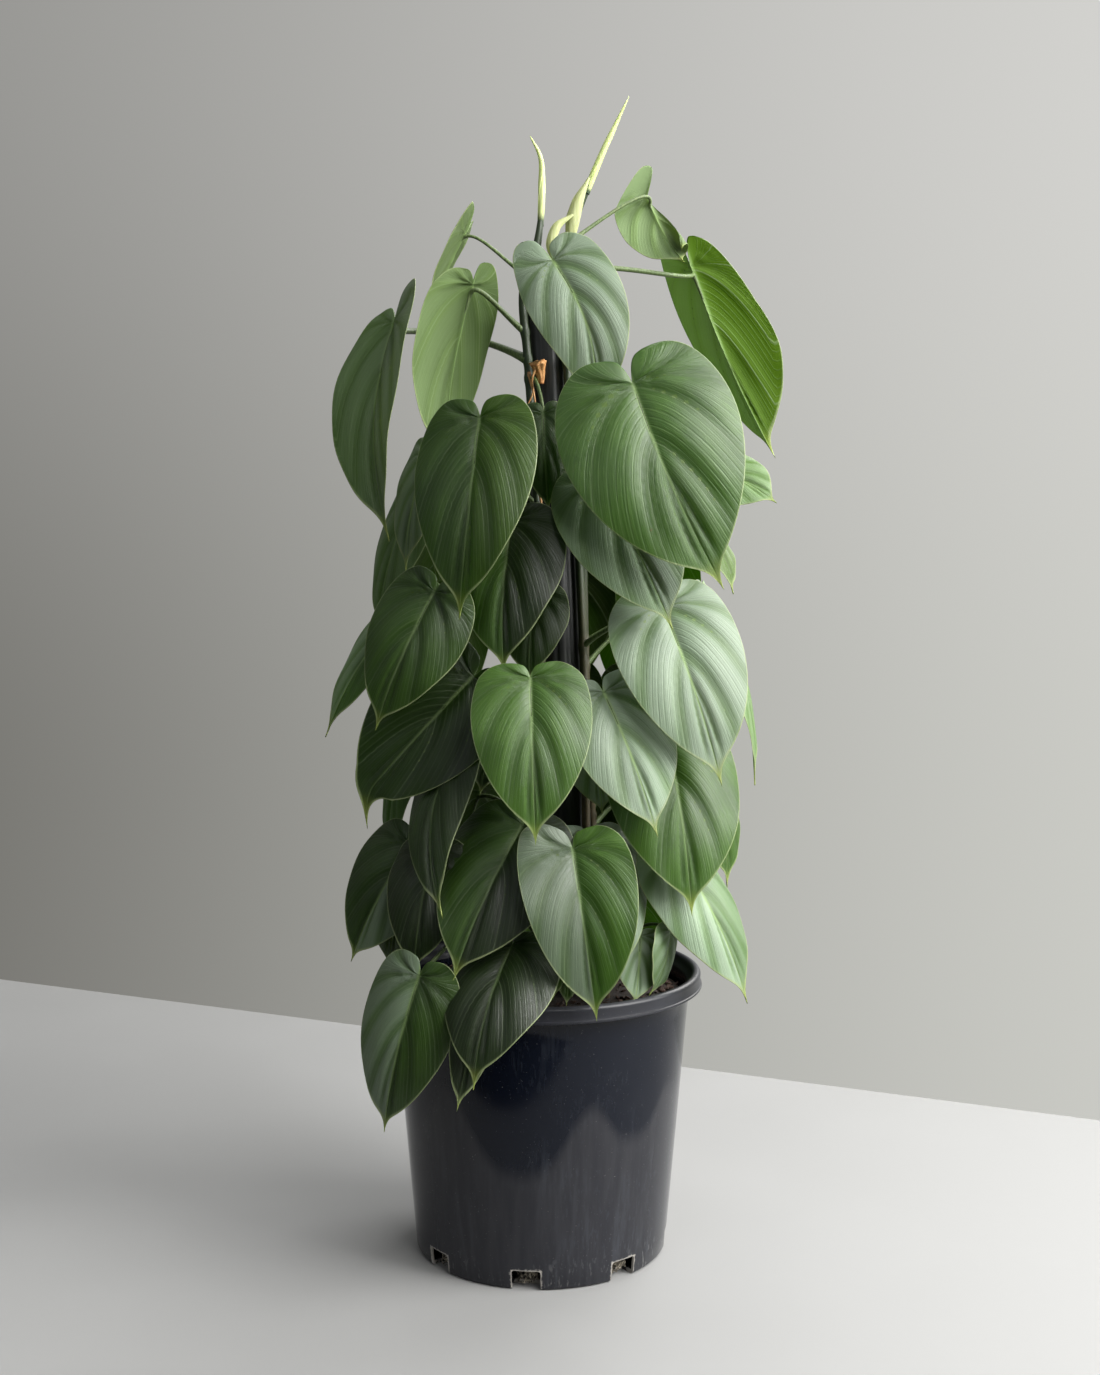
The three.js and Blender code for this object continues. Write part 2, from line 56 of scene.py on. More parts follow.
def heading(azimuth):  # in plan: 0 is the front, 90 the right side, 180 the back
    a = math.radians(azimuth)
    return np.array([math.sin(a), -math.cos(a), 0.0])


def newObject(name, data):
    made = bpy.data.objects.new(name, data)
    bpy.context.collection.objects.link(made)
    return made


def smoothstep(low, high, x):
    x = np.clip((np.asarray(x, float) - low) / (high - low), 0, 1)
    return x * x * (3 - 2 * x)


# Camera at the photograph's angle
camera = {
    "eye": (7, -1264, 525),
    "pitchDown": 4.08,  # degrees
    "lens": 43.07,
    "sensor": 36,  # along the picture's long side
}


def makeCamera(c):
    data = bpy.data.cameras.new("camera")
    data.lens = c["lens"]
    data.sensor_width = data.sensor_height = c["sensor"]
    data.clip_start, data.clip_end = 0.01, 50
    cam = newObject("camera", data)
    cam.location = Vector(c["eye"]) * mm
    cam.rotation_euler = (math.radians(90 - c["pitchDown"]), 0, 0)
    bpy.context.scene.camera = cam


# Studio light: compass direction, height angle and distance in metres, then size in metres and watts
lights = {
    "window": dict(azimuth=72, height=30, away=2.1, size=(1.5, 1.9), power=112, tint=(1, 0.99, 0.965)),
    "key": dict(azimuth=42, height=38, away=2.4, size=(1.9, 1.9), power=80, tint=(1, 0.99, 0.97)),
    "behind": dict(azimuth=140, height=34, away=2.4, size=(1.6, 1.6), power=52, tint=(1, 0.99, 0.965)),
    "top": dict(azimuth=170, height=70, away=2.2, size=(1.6, 1.2), power=16, tint=(0.97, 0.98, 1)),
    "fill": dict(azimuth=-40, height=30, away=3.0, size=(2.4, 2.4), power=15, tint=(0.93, 0.96, 1)),
}
studio = {
    "aim": (0, 0, 0.42),
    "dimSide": ((0.121, 0.117, 0.105), (0.243, 0.240, 0.228)),  # the surroundings on the left, low and high
    "brightSide": ((0.665, 0.668, 0.628), (0.722, 0.718, 0.692)),
    "heights": (-0.15, 0.30),
    "acrossFrom": (-0.6, 0.6),
    "front": 0.22,  # how bright they are behind the camera
    "frontFrom": (-0.7, 0.2),
}


def makeLights():
    aim = Vector(studio["aim"])
    for name, lamp in lights.items():
        height = math.radians(lamp["height"])
        toward = Vector(heading(lamp["azimuth"])) * math.cos(height) + Vector(up) * math.sin(height)
        data = bpy.data.lights.new(name, "AREA")
        data.shape = "RECTANGLE"
        data.size, data.size_y = lamp["size"]
        data.energy, data.color = lamp["power"], lamp["tint"]
        panel = newObject(name, data)
        panel.location = aim + toward * lamp["away"]
        panel.rotation_euler = toward.to_track_quat("Z", "Y").to_euler()


bpy.context.scene.view_settings.view_transform = "Standard"
makeCamera(camera)
makeLights()
print("camera and lights placed")


# Shader helpers: a value in a node tree, which can be added, multiplied and so on, and the tree itself
def sumStep(operation, swapped=False):
    def step(self, other):
        pair = (other, self) if swapped else (self, other)
        return self.shading.maths(operation, *pair)

    return step


class Value:
    def __init__(self, shading, socket):
        self.shading, self.socket = shading, socket

    __add__ = __radd__ = sumStep("ADD")
    __mul__ = __rmul__ = sumStep("MULTIPLY")
    __sub__, __rsub__ = sumStep("SUBTRACT"), sumStep("SUBTRACT", swapped=True)
    __truediv__ = sumStep("DIVIDE")
    __pow__, __rpow__ = sumStep("POWER"), sumStep("POWER", swapped=True)


class Shading:
    def __init__(self, tree, shader=None):
        self.tree, self.shader = tree, shader

    def feed(self, socket, value):
        if isinstance(value, Value):
            self.tree.links.new(value.socket, socket)
        else:
            socket.default_value = value

    def drive(self, label, value):
        self.feed(self.shader.inputs[label], value)

    def node(self, kind, inputs=None, pick=0, **settings):
        made = self.tree.nodes.new("ShaderNode" + kind)
        for name, value in settings.items():
            setattr(made, name, value)
        for key, value in (inputs or {}).items():
            self.feed(made.inputs[key], value)
        return [Value(self, socket) for socket in made.outputs] if pick is None else Value(self, made.outputs[pick])

    def group(self, tree, inputs):
        return self.node("Group", inputs, None, node_tree=tree)

    def maths(self, operation, a, b=0.0, clamp=False):
        return self.node("Math", {0: a, 1: b}, operation=operation, use_clamp=clamp)

    def spread(self, value, low, high, toLow=0.0, toHigh=1.0, kind="SMOOTHSTEP"):
        return self.node("MapRange", {0: value, 1: low, 2: high, 3: toLow, 4: toHigh}, interpolation_type=kind)

    def even(self, value, low, high, toLow, toHigh):
        return self.spread(value, low, high, toLow, toHigh, "LINEAR")

    def blend(self, factor, a, b, kind="MIX"):
        a, b = ((*value, 1.0) if isinstance(value, tuple) else value for value in (a, b))
        return self.node("Mix", {0: factor, 6: a, 7: b}, 2, data_type="RGBA", blend_type=kind)

    def paint(self, tint, *coats):  # a coat is its share and its colour
        for share, coat in coats:
            tint = self.blend(share, tint, coat)
        return tint

    def scale(self, tint, level):
        return self.node("VectorMath", {0: tint, "Scale": level}, operation="SCALE")

    def noise(self, vector, scale, detail=3.0, roughness=0.55, stretch=None):
        if stretch:
            vector = self.node("Mapping", {0: vector, 3: stretch})
        return self.node("TexNoise", {"Vector": vector, "Scale": scale, "Detail": detail, "Roughness": roughness})

    def noises(self, look, *names):
        return [self.noise(self.place(), *look[name]) for name in names]

    def attribute(self, name):
        return self.node("Attribute", pick="Fac", attribute_name=name)

    def place(self):
        return self.node("TexCoord", pick="Object")

    def split(self, vector):
        return self.node("SeparateXYZ", {0: vector}, None)

    def finish(self, tint, rough, relief, depth, strength):
        self.drive("Base Color", tint)
        self.drive("Roughness", rough)
        self.drive("Normal", self.node("Bump", {"Height": relief, "Distance": depth * mm, "Strength": strength}))

    def letLightThrough(self, tint, share):
        surface = Value(self, self.shader.outputs[0])
        both = self.node("MixShader", {0: share, 1: surface, 2: self.node("BsdfTranslucent", {0: tint})})
        self.feed(self.tree.nodes["Material Output"].inputs["Surface"], both)


def newGroup(name, inputs, outputs):
    group = bpy.data.node_groups.new(name, "ShaderNodeTree")
    for label, kind, value in inputs:
        socket = group.interface.new_socket(label, in_out="INPUT", socket_type="NodeSocket" + kind)
        socket.default_value = value
    for label in outputs:
        group.interface.new_socket(label, in_out="OUTPUT", socket_type="NodeSocketFloat")
    g = Shading(group)
    given = [Value(g, socket) for socket in group.nodes.new("NodeGroupInput").outputs]
    return g, given, group.nodes.new("NodeGroupOutput").inputs


def newMaterial(name, **constants):
    material = bpy.data.materials.new(name)
    material.use_nodes = True
    shader = material.node_tree.nodes["Principled BSDF"]
    for label, value in constants.items():
        shader.inputs[label.replace("_", " ")].default_value = value
    return material, Shading(material.node_tree, shader)


def makeSurroundings():
    world = bpy.data.worlds.new("studio")
    world.use_nodes = True
    m = Shading(world.node_tree, world.node_tree.nodes["Background"])
    toward = m.split(m.node("TexCoord", pick="Generated"))
    across = m.spread(toward[0], *studio["acrossFrom"])
    rise = m.spread(toward[2], *studio["heights"])
    tint = m.blend(across, m.blend(rise, *studio["dimSide"]), m.blend(rise, *studio["brightSide"]))
    m.drive("Color", tint)
    m.drive("Strength", m.spread(toward[1], *studio["frontFrom"], studio["front"], 1))
    bpy.context.scene.world = world


makeSurroundings()


# Mesh helpers: a shell is its points, faces, material number and named values for the shader
def shell(points, faces, look=0, **marks):
    return {"points": np.asarray(points, float), "faces": faces, "look": look, "marks": marks}


def joinShells(shells):
    points = np.vstack([s["points"] for s in shells])
    starts = np.cumsum([0] + [len(s["points"]) for s in shells])
    faces = [[k + start for k in face] for s, start in zip(shells, starts) for face in s["faces"]]
    looks = np.concatenate([np.broadcast_to(s["look"], len(s["faces"])) for s in shells])
    return points, faces, looks, starts


def newMesh(name, points, faces):
    mesh = bpy.data.meshes.new(name)
    mesh.from_pydata((points * mm).tolist(), [], faces)
    return mesh


def smoothFaces(mesh, sharp=None):
    mesh.polygons.foreach_set("use_smooth", [True] * len(mesh.polygons))
    if sharp:
        mesh.set_sharp_from_angle(angle=math.radians(sharp))


def editMesh(mesh, edit):
    work = bmesh.new()
    work.from_mesh(mesh)
    edit(work)
    work.to_mesh(mesh)
    work.free()


def makePiece(name, shells, materials, nodes, sharp=None):
    points, faces, looks, starts = joinShells(shells)
    mesh = newMesh(name, points, faces)
    mesh.polygons.foreach_set("material_index", looks.astype(np.int32))
    for mark in sorted({m for s in shells for m in s["marks"]}):
        values = np.zeros(len(points))
        for s, start in zip(shells, starts):
            values[start:start + len(s["points"])] = s["marks"].get(mark, 0)
        mesh.attributes.new(mark, "FLOAT", "POINT").data.foreach_set("value", values)
    editMesh(mesh, lambda work: bmesh.ops.remove_doubles(work, verts=work.verts, dist=1e-6))
    smoothFaces(mesh, sharp)
    for material in materials:
        mesh.materials.append(material)
    piece = newObject(name, mesh)
    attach(piece, "root")
    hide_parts(*nodes)
    return piece


def ringFaces(rows, sides, capped=True):  # between rings of points, and over both ends
    faces = [
        (k * sides + j, k * sides + (j + 1) % sides, (k + 1) * sides + (j + 1) % sides, (k + 1) * sides + j)
        for k in range(rows - 1) for j in range(sides)
    ]
    if capped:
        faces += [tuple(range(sides))[::-1], tuple(range((rows - 1) * sides, rows * sides))]
    return faces


def smoothPath(points, count):  # an even curve through given points
    points = np.asarray(points, float)
    last = len(points) - 1
    ends = 2 * points[[0, -1]] - points[[1, -2]]
    padded = np.vstack([ends[:1], points, ends[1:]])
    path = []
    for at in np.linspace(0, last, count):
        k = min(int(at), last - 1)
        w = at - k
        p = padded[k:k + 4]
        d = np.maximum(np.linalg.norm(np.diff(p, axis=0), axis=1), 1e-6) ** 0.5
        m1 = (p[1] - p[0]) / d[0] - (p[2] - p[0]) / (d[0] + d[1]) + (p[2] - p[1]) / d[1]
        m2 = (p[2] - p[1]) / d[1] - (p[3] - p[1]) / (d[1] + d[2]) + (p[3] - p[2]) / d[2]
        m1, m2 = m1 * d[1], m2 * d[1]
        square = -3 * p[1] + 3 * p[2] - 2 * m1 - m2
        cube = 2 * p[1] - 2 * p[2] + m1 + m2
        path.append(p[1] + m1 * w + square * w * w + cube * w ** 3)
    return np.array(path)


def tube(path, radii, sides, look=0, twist=0.0, turns=None, **marks):  # radii: one a ring, or rings by sides
    path = np.asarray(path, float)
    along = unit(np.gradient(path, axis=0))
    radii = np.broadcast_to(np.asarray(radii, float).reshape(len(path), -1), (len(path), sides))
    turns = np.arange(sides) * 2 * math.pi / sides if turns is None else turns
    side = unit(np.cross(along[0], [0.31, 0.87, 0.38]))
    rings = []
    for k, ahead in enumerate(along):
        side = unit(side - ahead * side.dot(ahead))
        other = np.cross(ahead, side)
        angles = turns + twist * k / (len(along) - 1)
        ring = np.outer(np.cos(angles), side) + np.outer(np.sin(angles), other)
        rings.append(path[k] + ring * radii[k][:, None])
    perPoint = {name: np.repeat(value, sides) if np.ndim(value) else value for name, value in marks.items()}
    return shell(np.vstack(rings), ringFaces(len(path), sides), look, **perPoint)


# Pole and stems, at the places that the frame's solids have
pole = {"radius": 18.5, "foot": 14, "top": 733, "footX": 33, "topX": 4.3}
soilTop = 198


def poleAxis(height):
    share = (height - pole["foot"]) / (pole["top"] - pole["foot"])
    return np.array([pole["footX"] + (pole["topX"] - pole["footX"]) * share, 0, height])


climbing = {
    "radius": 3.4,
    "rootDepth": 45,
    "rootReach": 36,
    "clearance": 1,
    "start": soilTop + 60,
    "stage": 54,
    "wander": 7,  # degrees to each side
    "nodeBelow": 32,  # how far under a leaf's notch its stalk leaves the stem, where the leaf doesn't say
    "lowestNode": soilTop + 14,
}
stemPlan = {
    "frontLeft": dict(azimuth=-42, top=735, phase=0, shoot=[(-3, -13, 766), (0, -10, 786)]),
    "frontRight": dict(azimuth=42, top=735, phase=1, shoot=[(24, -8, 782), (36, -10, 812)]),
    "right": dict(azimuth=118, top=640, phase=2, shoot=[]),
    "back": dict(azimuth=182, top=690, phase=3, shoot=[(5, 27, 722)]),
    "left": dict(azimuth=-112, top=590, phase=4, shoot=[]),
}


def stemPath(plan, count=201):
    c = climbing
    root = poleAxis(soilTop) + heading(plan["azimuth"]) * c["rootReach"]
    points = [(root[0], root[1], soilTop + h) for h in (-c["rootDepth"], -15, 4, 12)]
    stages = round((plan["top"] - c["start"]) / c["stage"])
    for height in np.linspace(c["start"], plan["top"], stages + 1):
        turn = plan["azimuth"] + c["wander"] * math.sin(height / 70 + plan["phase"])
        points.append(poleAxis(height) + heading(turn) * (pole["radius"] + c["radius"] + c["clearance"]))
    return smoothPath([*points, *plan["shoot"]], count)


stems = {name: stemPath(plan) for name, plan in stemPlan.items()}


def onStem(name, height):
    path = stems[name]
    return path[np.argmin(np.abs(path[:, 2] - height))]


def leafAt(notch, tip, width, facing, **form):
    return dict(form, notch=notch, tip=tip, width=width, facing=facing)


# Leaves seen from the front: notch, tip, full width and facing; other values change the usual form
leaves = {
    "frontLeft": [
        leafAt((-58, 0, 779), (-82, -14, 700), 21, -116, rise=0.3, droop=0.1, lobes=(1.1, 2.0), turns=(0, -1),
               node=745, stout=0.9),
        leafAt((-51, -30, 736), (-70, -52, 594), 66, -142, rise=0.3, droop=0.1, pull=(0, 0.08), lobes=(1.0, 0.65),
               node=703),
        leafAt((-110, -20, 710), (-112, -45, 546), 70, -42, rise=0.42, droop=0.1, sweep=-0.04, pull=(0.22, -0.1),
               lobes=(0.8, 1), node=682, bend=(0, 46, 0), stout=1.35),
        leafAt((2, -48, 640), (6, -53, 566), 40, -5, node=668),
        leafAt((-43, -88, 633), (-57, -106, 490), 94, -25, sweep=0.03, rise=0.3, droop=0.35, lobes=(0.75, 0.75)),
        leafAt((-82, -50, 611), (-100, -45, 524), 46, -40, node=576),
        leafAt((-21, -62, 561), (-26, -86, 450), 86, -24, node=540),
        leafAt((-4, -40, 509), (-8, -50, 442), 54, -20, node=468),
        leafAt((-76, -80, 510), (-120, -75, 409), 76, -22),
        leafAt((-7, -98, 449), (-3, -126, 333), 86, 0, rise=0.28, droop=0.34, lobes=(0.65, 0.65)),
        leafAt((-49, -66, 448), (-141, -52, 346), 94, -20, rise=0.25, droop=0.1, arch=0.03, hook=(0.13, 0),
               node=436),
        leafAt((-32, -45, 425), (-45, -60, 358), 44, 0, node=398),
        leafAt((-63, -56, 398), (-69, -119, 280), 60, -38, sweep=-0.07, node=372),
        leafAt((-13, -80, 341), (-62, -122, 235), 96, -24, node=322),
        leafAt((-20, -105, 259), (-46, -154, 168), 84, -25, arch=0.11, node=240),
        leafAt((-41, -126, 224), (-58, -143, 149), 34, -12, arch=0.03, node=222),
        leafAt((-86, -114, 238), (-113, -102, 120), 72, -22, node=256),
        leafAt((16, -70, 261), (9, -80, 211), 26, 50, node=232),
    ],
    "frontRight": [
        leafAt((80.5, 20, 809), (108, -8, 755), 54, 205, rise=0.7, droop=0.1, pull=(1.0, 0.0), folds=(0.2, 0.7),
               lobes=(0.1, 3.3), turns=(0, 2.0), roll=7, node=770, joint=0.1),
        leafAt((116, 24, 759), (183, 28, 612), 74, 148, rise=0.65, droop=0.1, sweep=0.05, pull=(0.3, -0.08),
               lobes=(1.5, 0.8), folds=(1, 1.5), node=748, bend=(0, 0, -17)),
        leafAt((9, -60, 748), (41, -76, 634), 70, -3, sweep=0.09, rise=0.2, droop=0.25, lobes=(1.5, 0.85)),
        leafAt((65, -92, 657), (129, -112, 511), 130, 5, node=680, rise=0.24, droop=0.34, sweep=-0.035,
               lobes=(1, 1.05)),
        leafAt((42, -68, 591), (95, -92, 482), 88, 12, droop=0.3),
        leafAt((89, -62, 499), (130, -98, 371), 96, 14, rise=0.2, droop=0.26),
        leafAt((46, -72, 437), (84, -102, 335), 80, 18, rise=0.2, droop=0.24),
        leafAt((37, -40, 406), (46, -50, 343), 50, 10, node=384),
        leafAt((94, -52, 401), (110, -88, 275), 102, 12, node=362),
        leafAt((23, -112, 329), (40, -130, 209), 82, 3, node=312, bend=(0, 0, 4), rise=0.46, droop=0.22,
               pull=(-0.12, 0), lobes=(0.75, 0.75)),
        leafAt((36, -68, 327), (49, -96, 220), 86, 24, node=276),
        leafAt((23, -60, 240), (19, -70, 204), 22, -10, node=226),
        leafAt((74, -60, 255), (69, -78, 207), 40, 10, node=246),
        leafAt((97, -62, 259), (80, -75, 213), 40, 60, node=232, bend=(4, 14, 0)),
    ],
    "right": [
        leafAt((132, 10, 603), (179, -10, 576), 58, 40, lobes=(0.7, 0.3)),
        leafAt((117, 4, 572), (146, -19, 507), 50, 52, node=562, lobes=(0.8, 0.4)),
        leafAt((131, 20, 502), (166, 0, 359), 50, 72),
        leafAt((124, 10, 378), (145, 0, 279), 70, 50),
        leafAt((98, -56, 321), (153, -70, 206), 72, 41, rise=0.1, droop=0.5, node=274),
        leafAt((46, 30, 354), (41, 42, 300), 44, 168, node=334),
    ],
    "left": [
        leafAt((-91, -5, 594), (-125, 5, 472), 66, -55),
        leafAt((-59, -16, 555), (-62, -8, 472), 44, 172, node=536),
        leafAt((-90, -50, 509), (-162, -35, 400), 55, -58, node=482),
        leafAt((-104, -4, 393), (-115, -2, 299), 50, -60, node=352),
        leafAt((-78, -76, 321), (-91, -94, 233), 66, -22, node=300),
        leafAt((-97, -52, 322), (-143, -44, 231), 71, -30, node=274),
        leafAt((-98, -36, 299), (-114, -46, 225), 58, -35, node=248),
    ],
    "back": [
        leafAt((26, 44, 750), (30, 62, 684), 56, 165, node=700),
    ],
}

# The far side: leaves in columns, each overlapping the one below, and one over the rim under each
farSide = [
    ("right", 134, 94, (640, 566, 494, 424, 356)),
    ("back", 184, 70, (650, 588, 520, 450, 376)),
    ("left", -128, 94, (578, 502, 428, 356)),
    ("right", 150, 122, (262,)),
    ("back", 190, 126, (286,)),
    ("left", -132, 132, (262,)),
]


def growFarSide(seed=67, modulus=2147483647):
    state = seed

    def draw(low, high):
        nonlocal state
        state = state * 16807 % modulus
        return low + (high - low) * state / modulus

    for stem, azimuth, reach, heights in farSide:
        for height in heights:
            turn = azimuth + draw(-9, 9)
            length = draw(108, 137)
            out = reach + draw(-6, 6)
            notch = poleAxis(height + draw(-12, 12)) + heading(turn) * out
            lean = heading(turn + draw(-45, 45)) * draw(18, 32)
            tip = notch + lean - up * length
            width = length * draw(0.72, 0.84)
            leaves[stem].append(leafAt(notch, tip, width, turn + draw(-12, 12), phase=draw(0, 1)))


growFarSide()

# Each leaf's colour, in the order of the table above: how fresh, how grey and how light it is.
# Two words are for its left and right halves. Much of the lightness and the grey is painted light and shade:
# the darker words paint the shade on leaves that the light doesn't reach, and the paler ones the sheen and light on
# others.
tones = {
    "mid": (0, 0, 0),
    "lively": (0, 0.08, 0.15),
    # deep, dark and night: painted shade
    "deep": (0, 0, -0.8),
    "dark": (0, 0, -1.7),
    "night": (0, 0, -2.8),
    "fresh": (1, 0, -0.3),
    # painted light, on a fresh half that the light comes through
    "freshPale": (0.35, 0.6, 1.7),
    "grey": (0, 0.8, -0.5),
    # the next four are a paler grey-green, partly the leaf's own and partly painted sheen
    "dusty": (0, 0.85, 0.4),
    "satin": (0, 0.6, 0.8),
    "frosted": (0, 1, 0.75),
    "silver": (0, 1, 1.35),
    "pale": (0.45, 0.5, 0.9),
    "olive": (0.35, 0.45, 0),
    "light": (0.15, 0.6, 0.35),
    "milky": (0.25, 0.85, 0.95),
    # painted light, on a half that the light comes through
    "lit": (0.4, 0, -0.5),
}
leafTones = {
    "frontLeft": "dusty olive/light olive/dusty deep deep/lit dusty mid/night dark deep mid dark dark dark"
                 " deep/night night night dusty/deep mid",
    "frontRight": "dusty/milky fresh/freshPale frosted lively satin/frosted frosted frosted/silver silver mid"
                  " grey/mid frosted mid silver satin",
    "right": "pale fresh pale mid silver/satin night mid mid dark deep deep deep",
    "left": "olive mid satin/mid mid night dark/dusty grey deep deep deep dark dark",
    "back": "deep deep deep dark dark",
}


# A blade's surface is the frame's own; u runs from -1 at its left margin to 1 at its right
usualBlade = dict(
    arch=0.07, sweep=0, rise=0.22, droop=0.42, wave=0.03, phase=0,
    hook=(0, 0), pull=(0, 0), bend=(0, 0, 0), joint=0.04, node=None,
    lobes=(0.85, 0.85), folds=(1, 1), turns=(0, 0),  # by side: the lobes' length, the halves' rise, the lobes' turn
    stout=1, roll=0,  # girth of the stalk, and the radius of a rolled half
)
marginCurves = [  # from place, to place, then the curve's four corners
    (0, 0.38, ((-0.12, 0.22), (-0.19, 0.62), (-0.02, 1), (0.23, 1))),
    (0.38, 0.78, ((0.23, 1), (0.47, 1), (0.70, 0.66), (0.83, 0.27))),
    (0.78, 1, ((0.83, 0.27), (0.88, 0.12), (0.9, 0.03), (1, 0))),
]


def bezier(corners, w):
    a, b, c, d = np.array(corners, float)
    w = np.asarray(w, float)[..., None]
    return a * (1 - w) ** 3 + 3 * b * w * (1 - w) ** 2 + 3 * c * w * w * (1 - w) + d * w ** 3


def marginAt(s):
    edge = np.zeros((*s.shape, 2))
    for low, high, corners in marginCurves:
        piece = bezier(corners, np.clip((s - low) / (high - low), 0, 1))
        edge = np.where((s >= low)[..., None], piece, edge)
    return edge[..., 0], edge[..., 1]


class Blade:
    def __init__(self, leaf):
        self.__dict__.update({**usualBlade, **leaf})
        self.base = np.array(self.notch, float)
        chord = np.array(self.tip, float) - self.base
        self.length = np.linalg.norm(chord)
        self.along = chord / self.length
        outward = heading(self.facing)
        self.face = unit(outward - self.along * outward.dot(self.along))
        self.right = np.cross(self.face, self.along)

    def ribPoint(self, v):
        v = np.asarray(v, float)[..., None]
        bow = np.sin(np.pi * np.maximum(v, 0))
        end = np.maximum((v - 0.78) / 0.22, 0) ** 2
        out = self.arch * bow + self.hook[1] * end
        aside = self.sweep * bow + self.hook[0] * end
        return self.base + (self.along * v + self.face * out + self.right * aside) * self.length

    def frameAt(self, v):
        tangent = unit(self.ribPoint(v + 0.001) - self.ribPoint(np.maximum(v - 0.001, 0)))
        sideways = unit(self.right - tangent * (tangent @ self.right)[..., None])
        return tangent, sideways, np.cross(tangent, sideways)

    def surface(self, s, u):
        def bySide(pair):
            return np.where(u < 0, *pair)

        side, t = bySide((-1, 1)), np.abs(u)
        edgeX, edgeY = marginAt(s)
        foot = np.maximum((s - 0.25) / 0.75, 0) ** 1.3
        notch = np.exp(-(s / 0.13) ** 2)  # the lobes round off beside the notch
        bend = foot + 0.35 * (edgeX - foot) - 0.02 * edgeY - 0.085 * notch
        across = 2 * t * (1 - t) * (0.55 - 0.33 * notch) * edgeY + t * t * edgeY
        flatAlong = (1 - t) ** 2 * foot + 2 * t * (1 - t) * bend + t * t * edgeX
        flatAlong = np.where(flatAlong < 0, flatAlong * bySide(self.lobes), flatAlong)
        turned = bySide(self.turns) * np.minimum(flatAlong, 0)
        beside = (across + turned) * self.width / 2
        along = flatAlong + bySide(self.pull) * across * (1 - np.clip(flatAlong, 0, 1))
        v = np.clip(along, 0, 1)
        tangent, sideways, normal = self.frameAt(v)
        ripple = self.wave * np.sin(2 * np.pi * (1.6 * along + self.phase + 0.25 * side))
        lift = self.rise * bySide(self.folds) * across - (self.droop - ripple) * across ** 2
        lift = lift * self.width / 2
        if self.roll:  # the left half rolls up over its underside
            beside, lift = (
                np.where(side < 0, self.roll * np.sin(beside / self.roll), beside),
                np.where(side < 0, lift - self.roll * (1 - np.cos(beside / self.roll)), lift),
            )
        point = self.ribPoint(v) + tangent * ((along - v) * self.length)[..., None]
        point = point + sideways * (side * beside)[..., None] + normal * lift[..., None]
        return point, normal, along, across, edgeY


# Leaf: its mesh, the relief of its veins, and its stalk. Heights and widths are in millimetres.
leafForm = {
    "rows": 44,
    "columns": 16,
    "veins": (0.14, 0.33, 0.54, 0.72, 0.87),  # places on the margin where main veins end
    "veinBow": (0.22, 0.72),  # how far along and how far out a vein's curve is drawn
    "thickness": 0.62,
    "groove": 1.0,
    "grooveWidth": 2.9,
    "pillow": 3.0,
    "pillowPeak": 0.34,  # how far out from the midrib the pillows stand highest
    "furrow": 0.8,  # lesser furrows between the main ones
    "usualHalf": 45,  # the half width at which the relief has these depths
    "warp": 0.8,
    "ruffle": 0.5,
    "keel": 1.1,
    "underVein": 0.35,
    "stalkRadius": 0.95,
    "stalkGrowth": 0.0062,
    "stalkSides": 12,
    "stalkRings": 22,
    "stalkLeave": (0.35, 0.25),  # how far its curve goes outward and up from the stem, as shares of its span
    "stalkArrive": (0.22, 0.12),  # and behind and above the blade
}


def veinPlaces(along, across, shift):
    # which vein passes a point: veins fan out from the notch and the midrib and bend toward the tip
    f = leafForm
    near, far = f["veinBow"]
    low, high = np.zeros(along.shape), np.ones(along.shape)
    for _ in range(22):
        s = (low + high) / 2
        edgeX, edgeY = marginAt(s)
        foot = 0.62 * np.maximum((edgeX - 0.45) / 0.55, 0) ** 1.5
        share = np.clip(across / np.maximum(edgeY, 1e-6), 0, 1)
        t = (far - np.sqrt(far ** 2 - (2 * far - 1) * share)) / (2 * far - 1)
        reached = (1 - t) ** 2 * foot + 2 * t * (1 - t) * (foot + near * (edgeX - foot)) + t * t * edgeX
        low, high = np.where(reached < along, s, low), np.where(reached < along, high, s)
    ends = [0, *(v + d for v, d in zip(f["veins"], shift)), 1]
    return np.interp((low + high) / 2, ends, [0.35, *range(1, len(f["veins"]) + 1), len(f["veins"]) + 0.8])


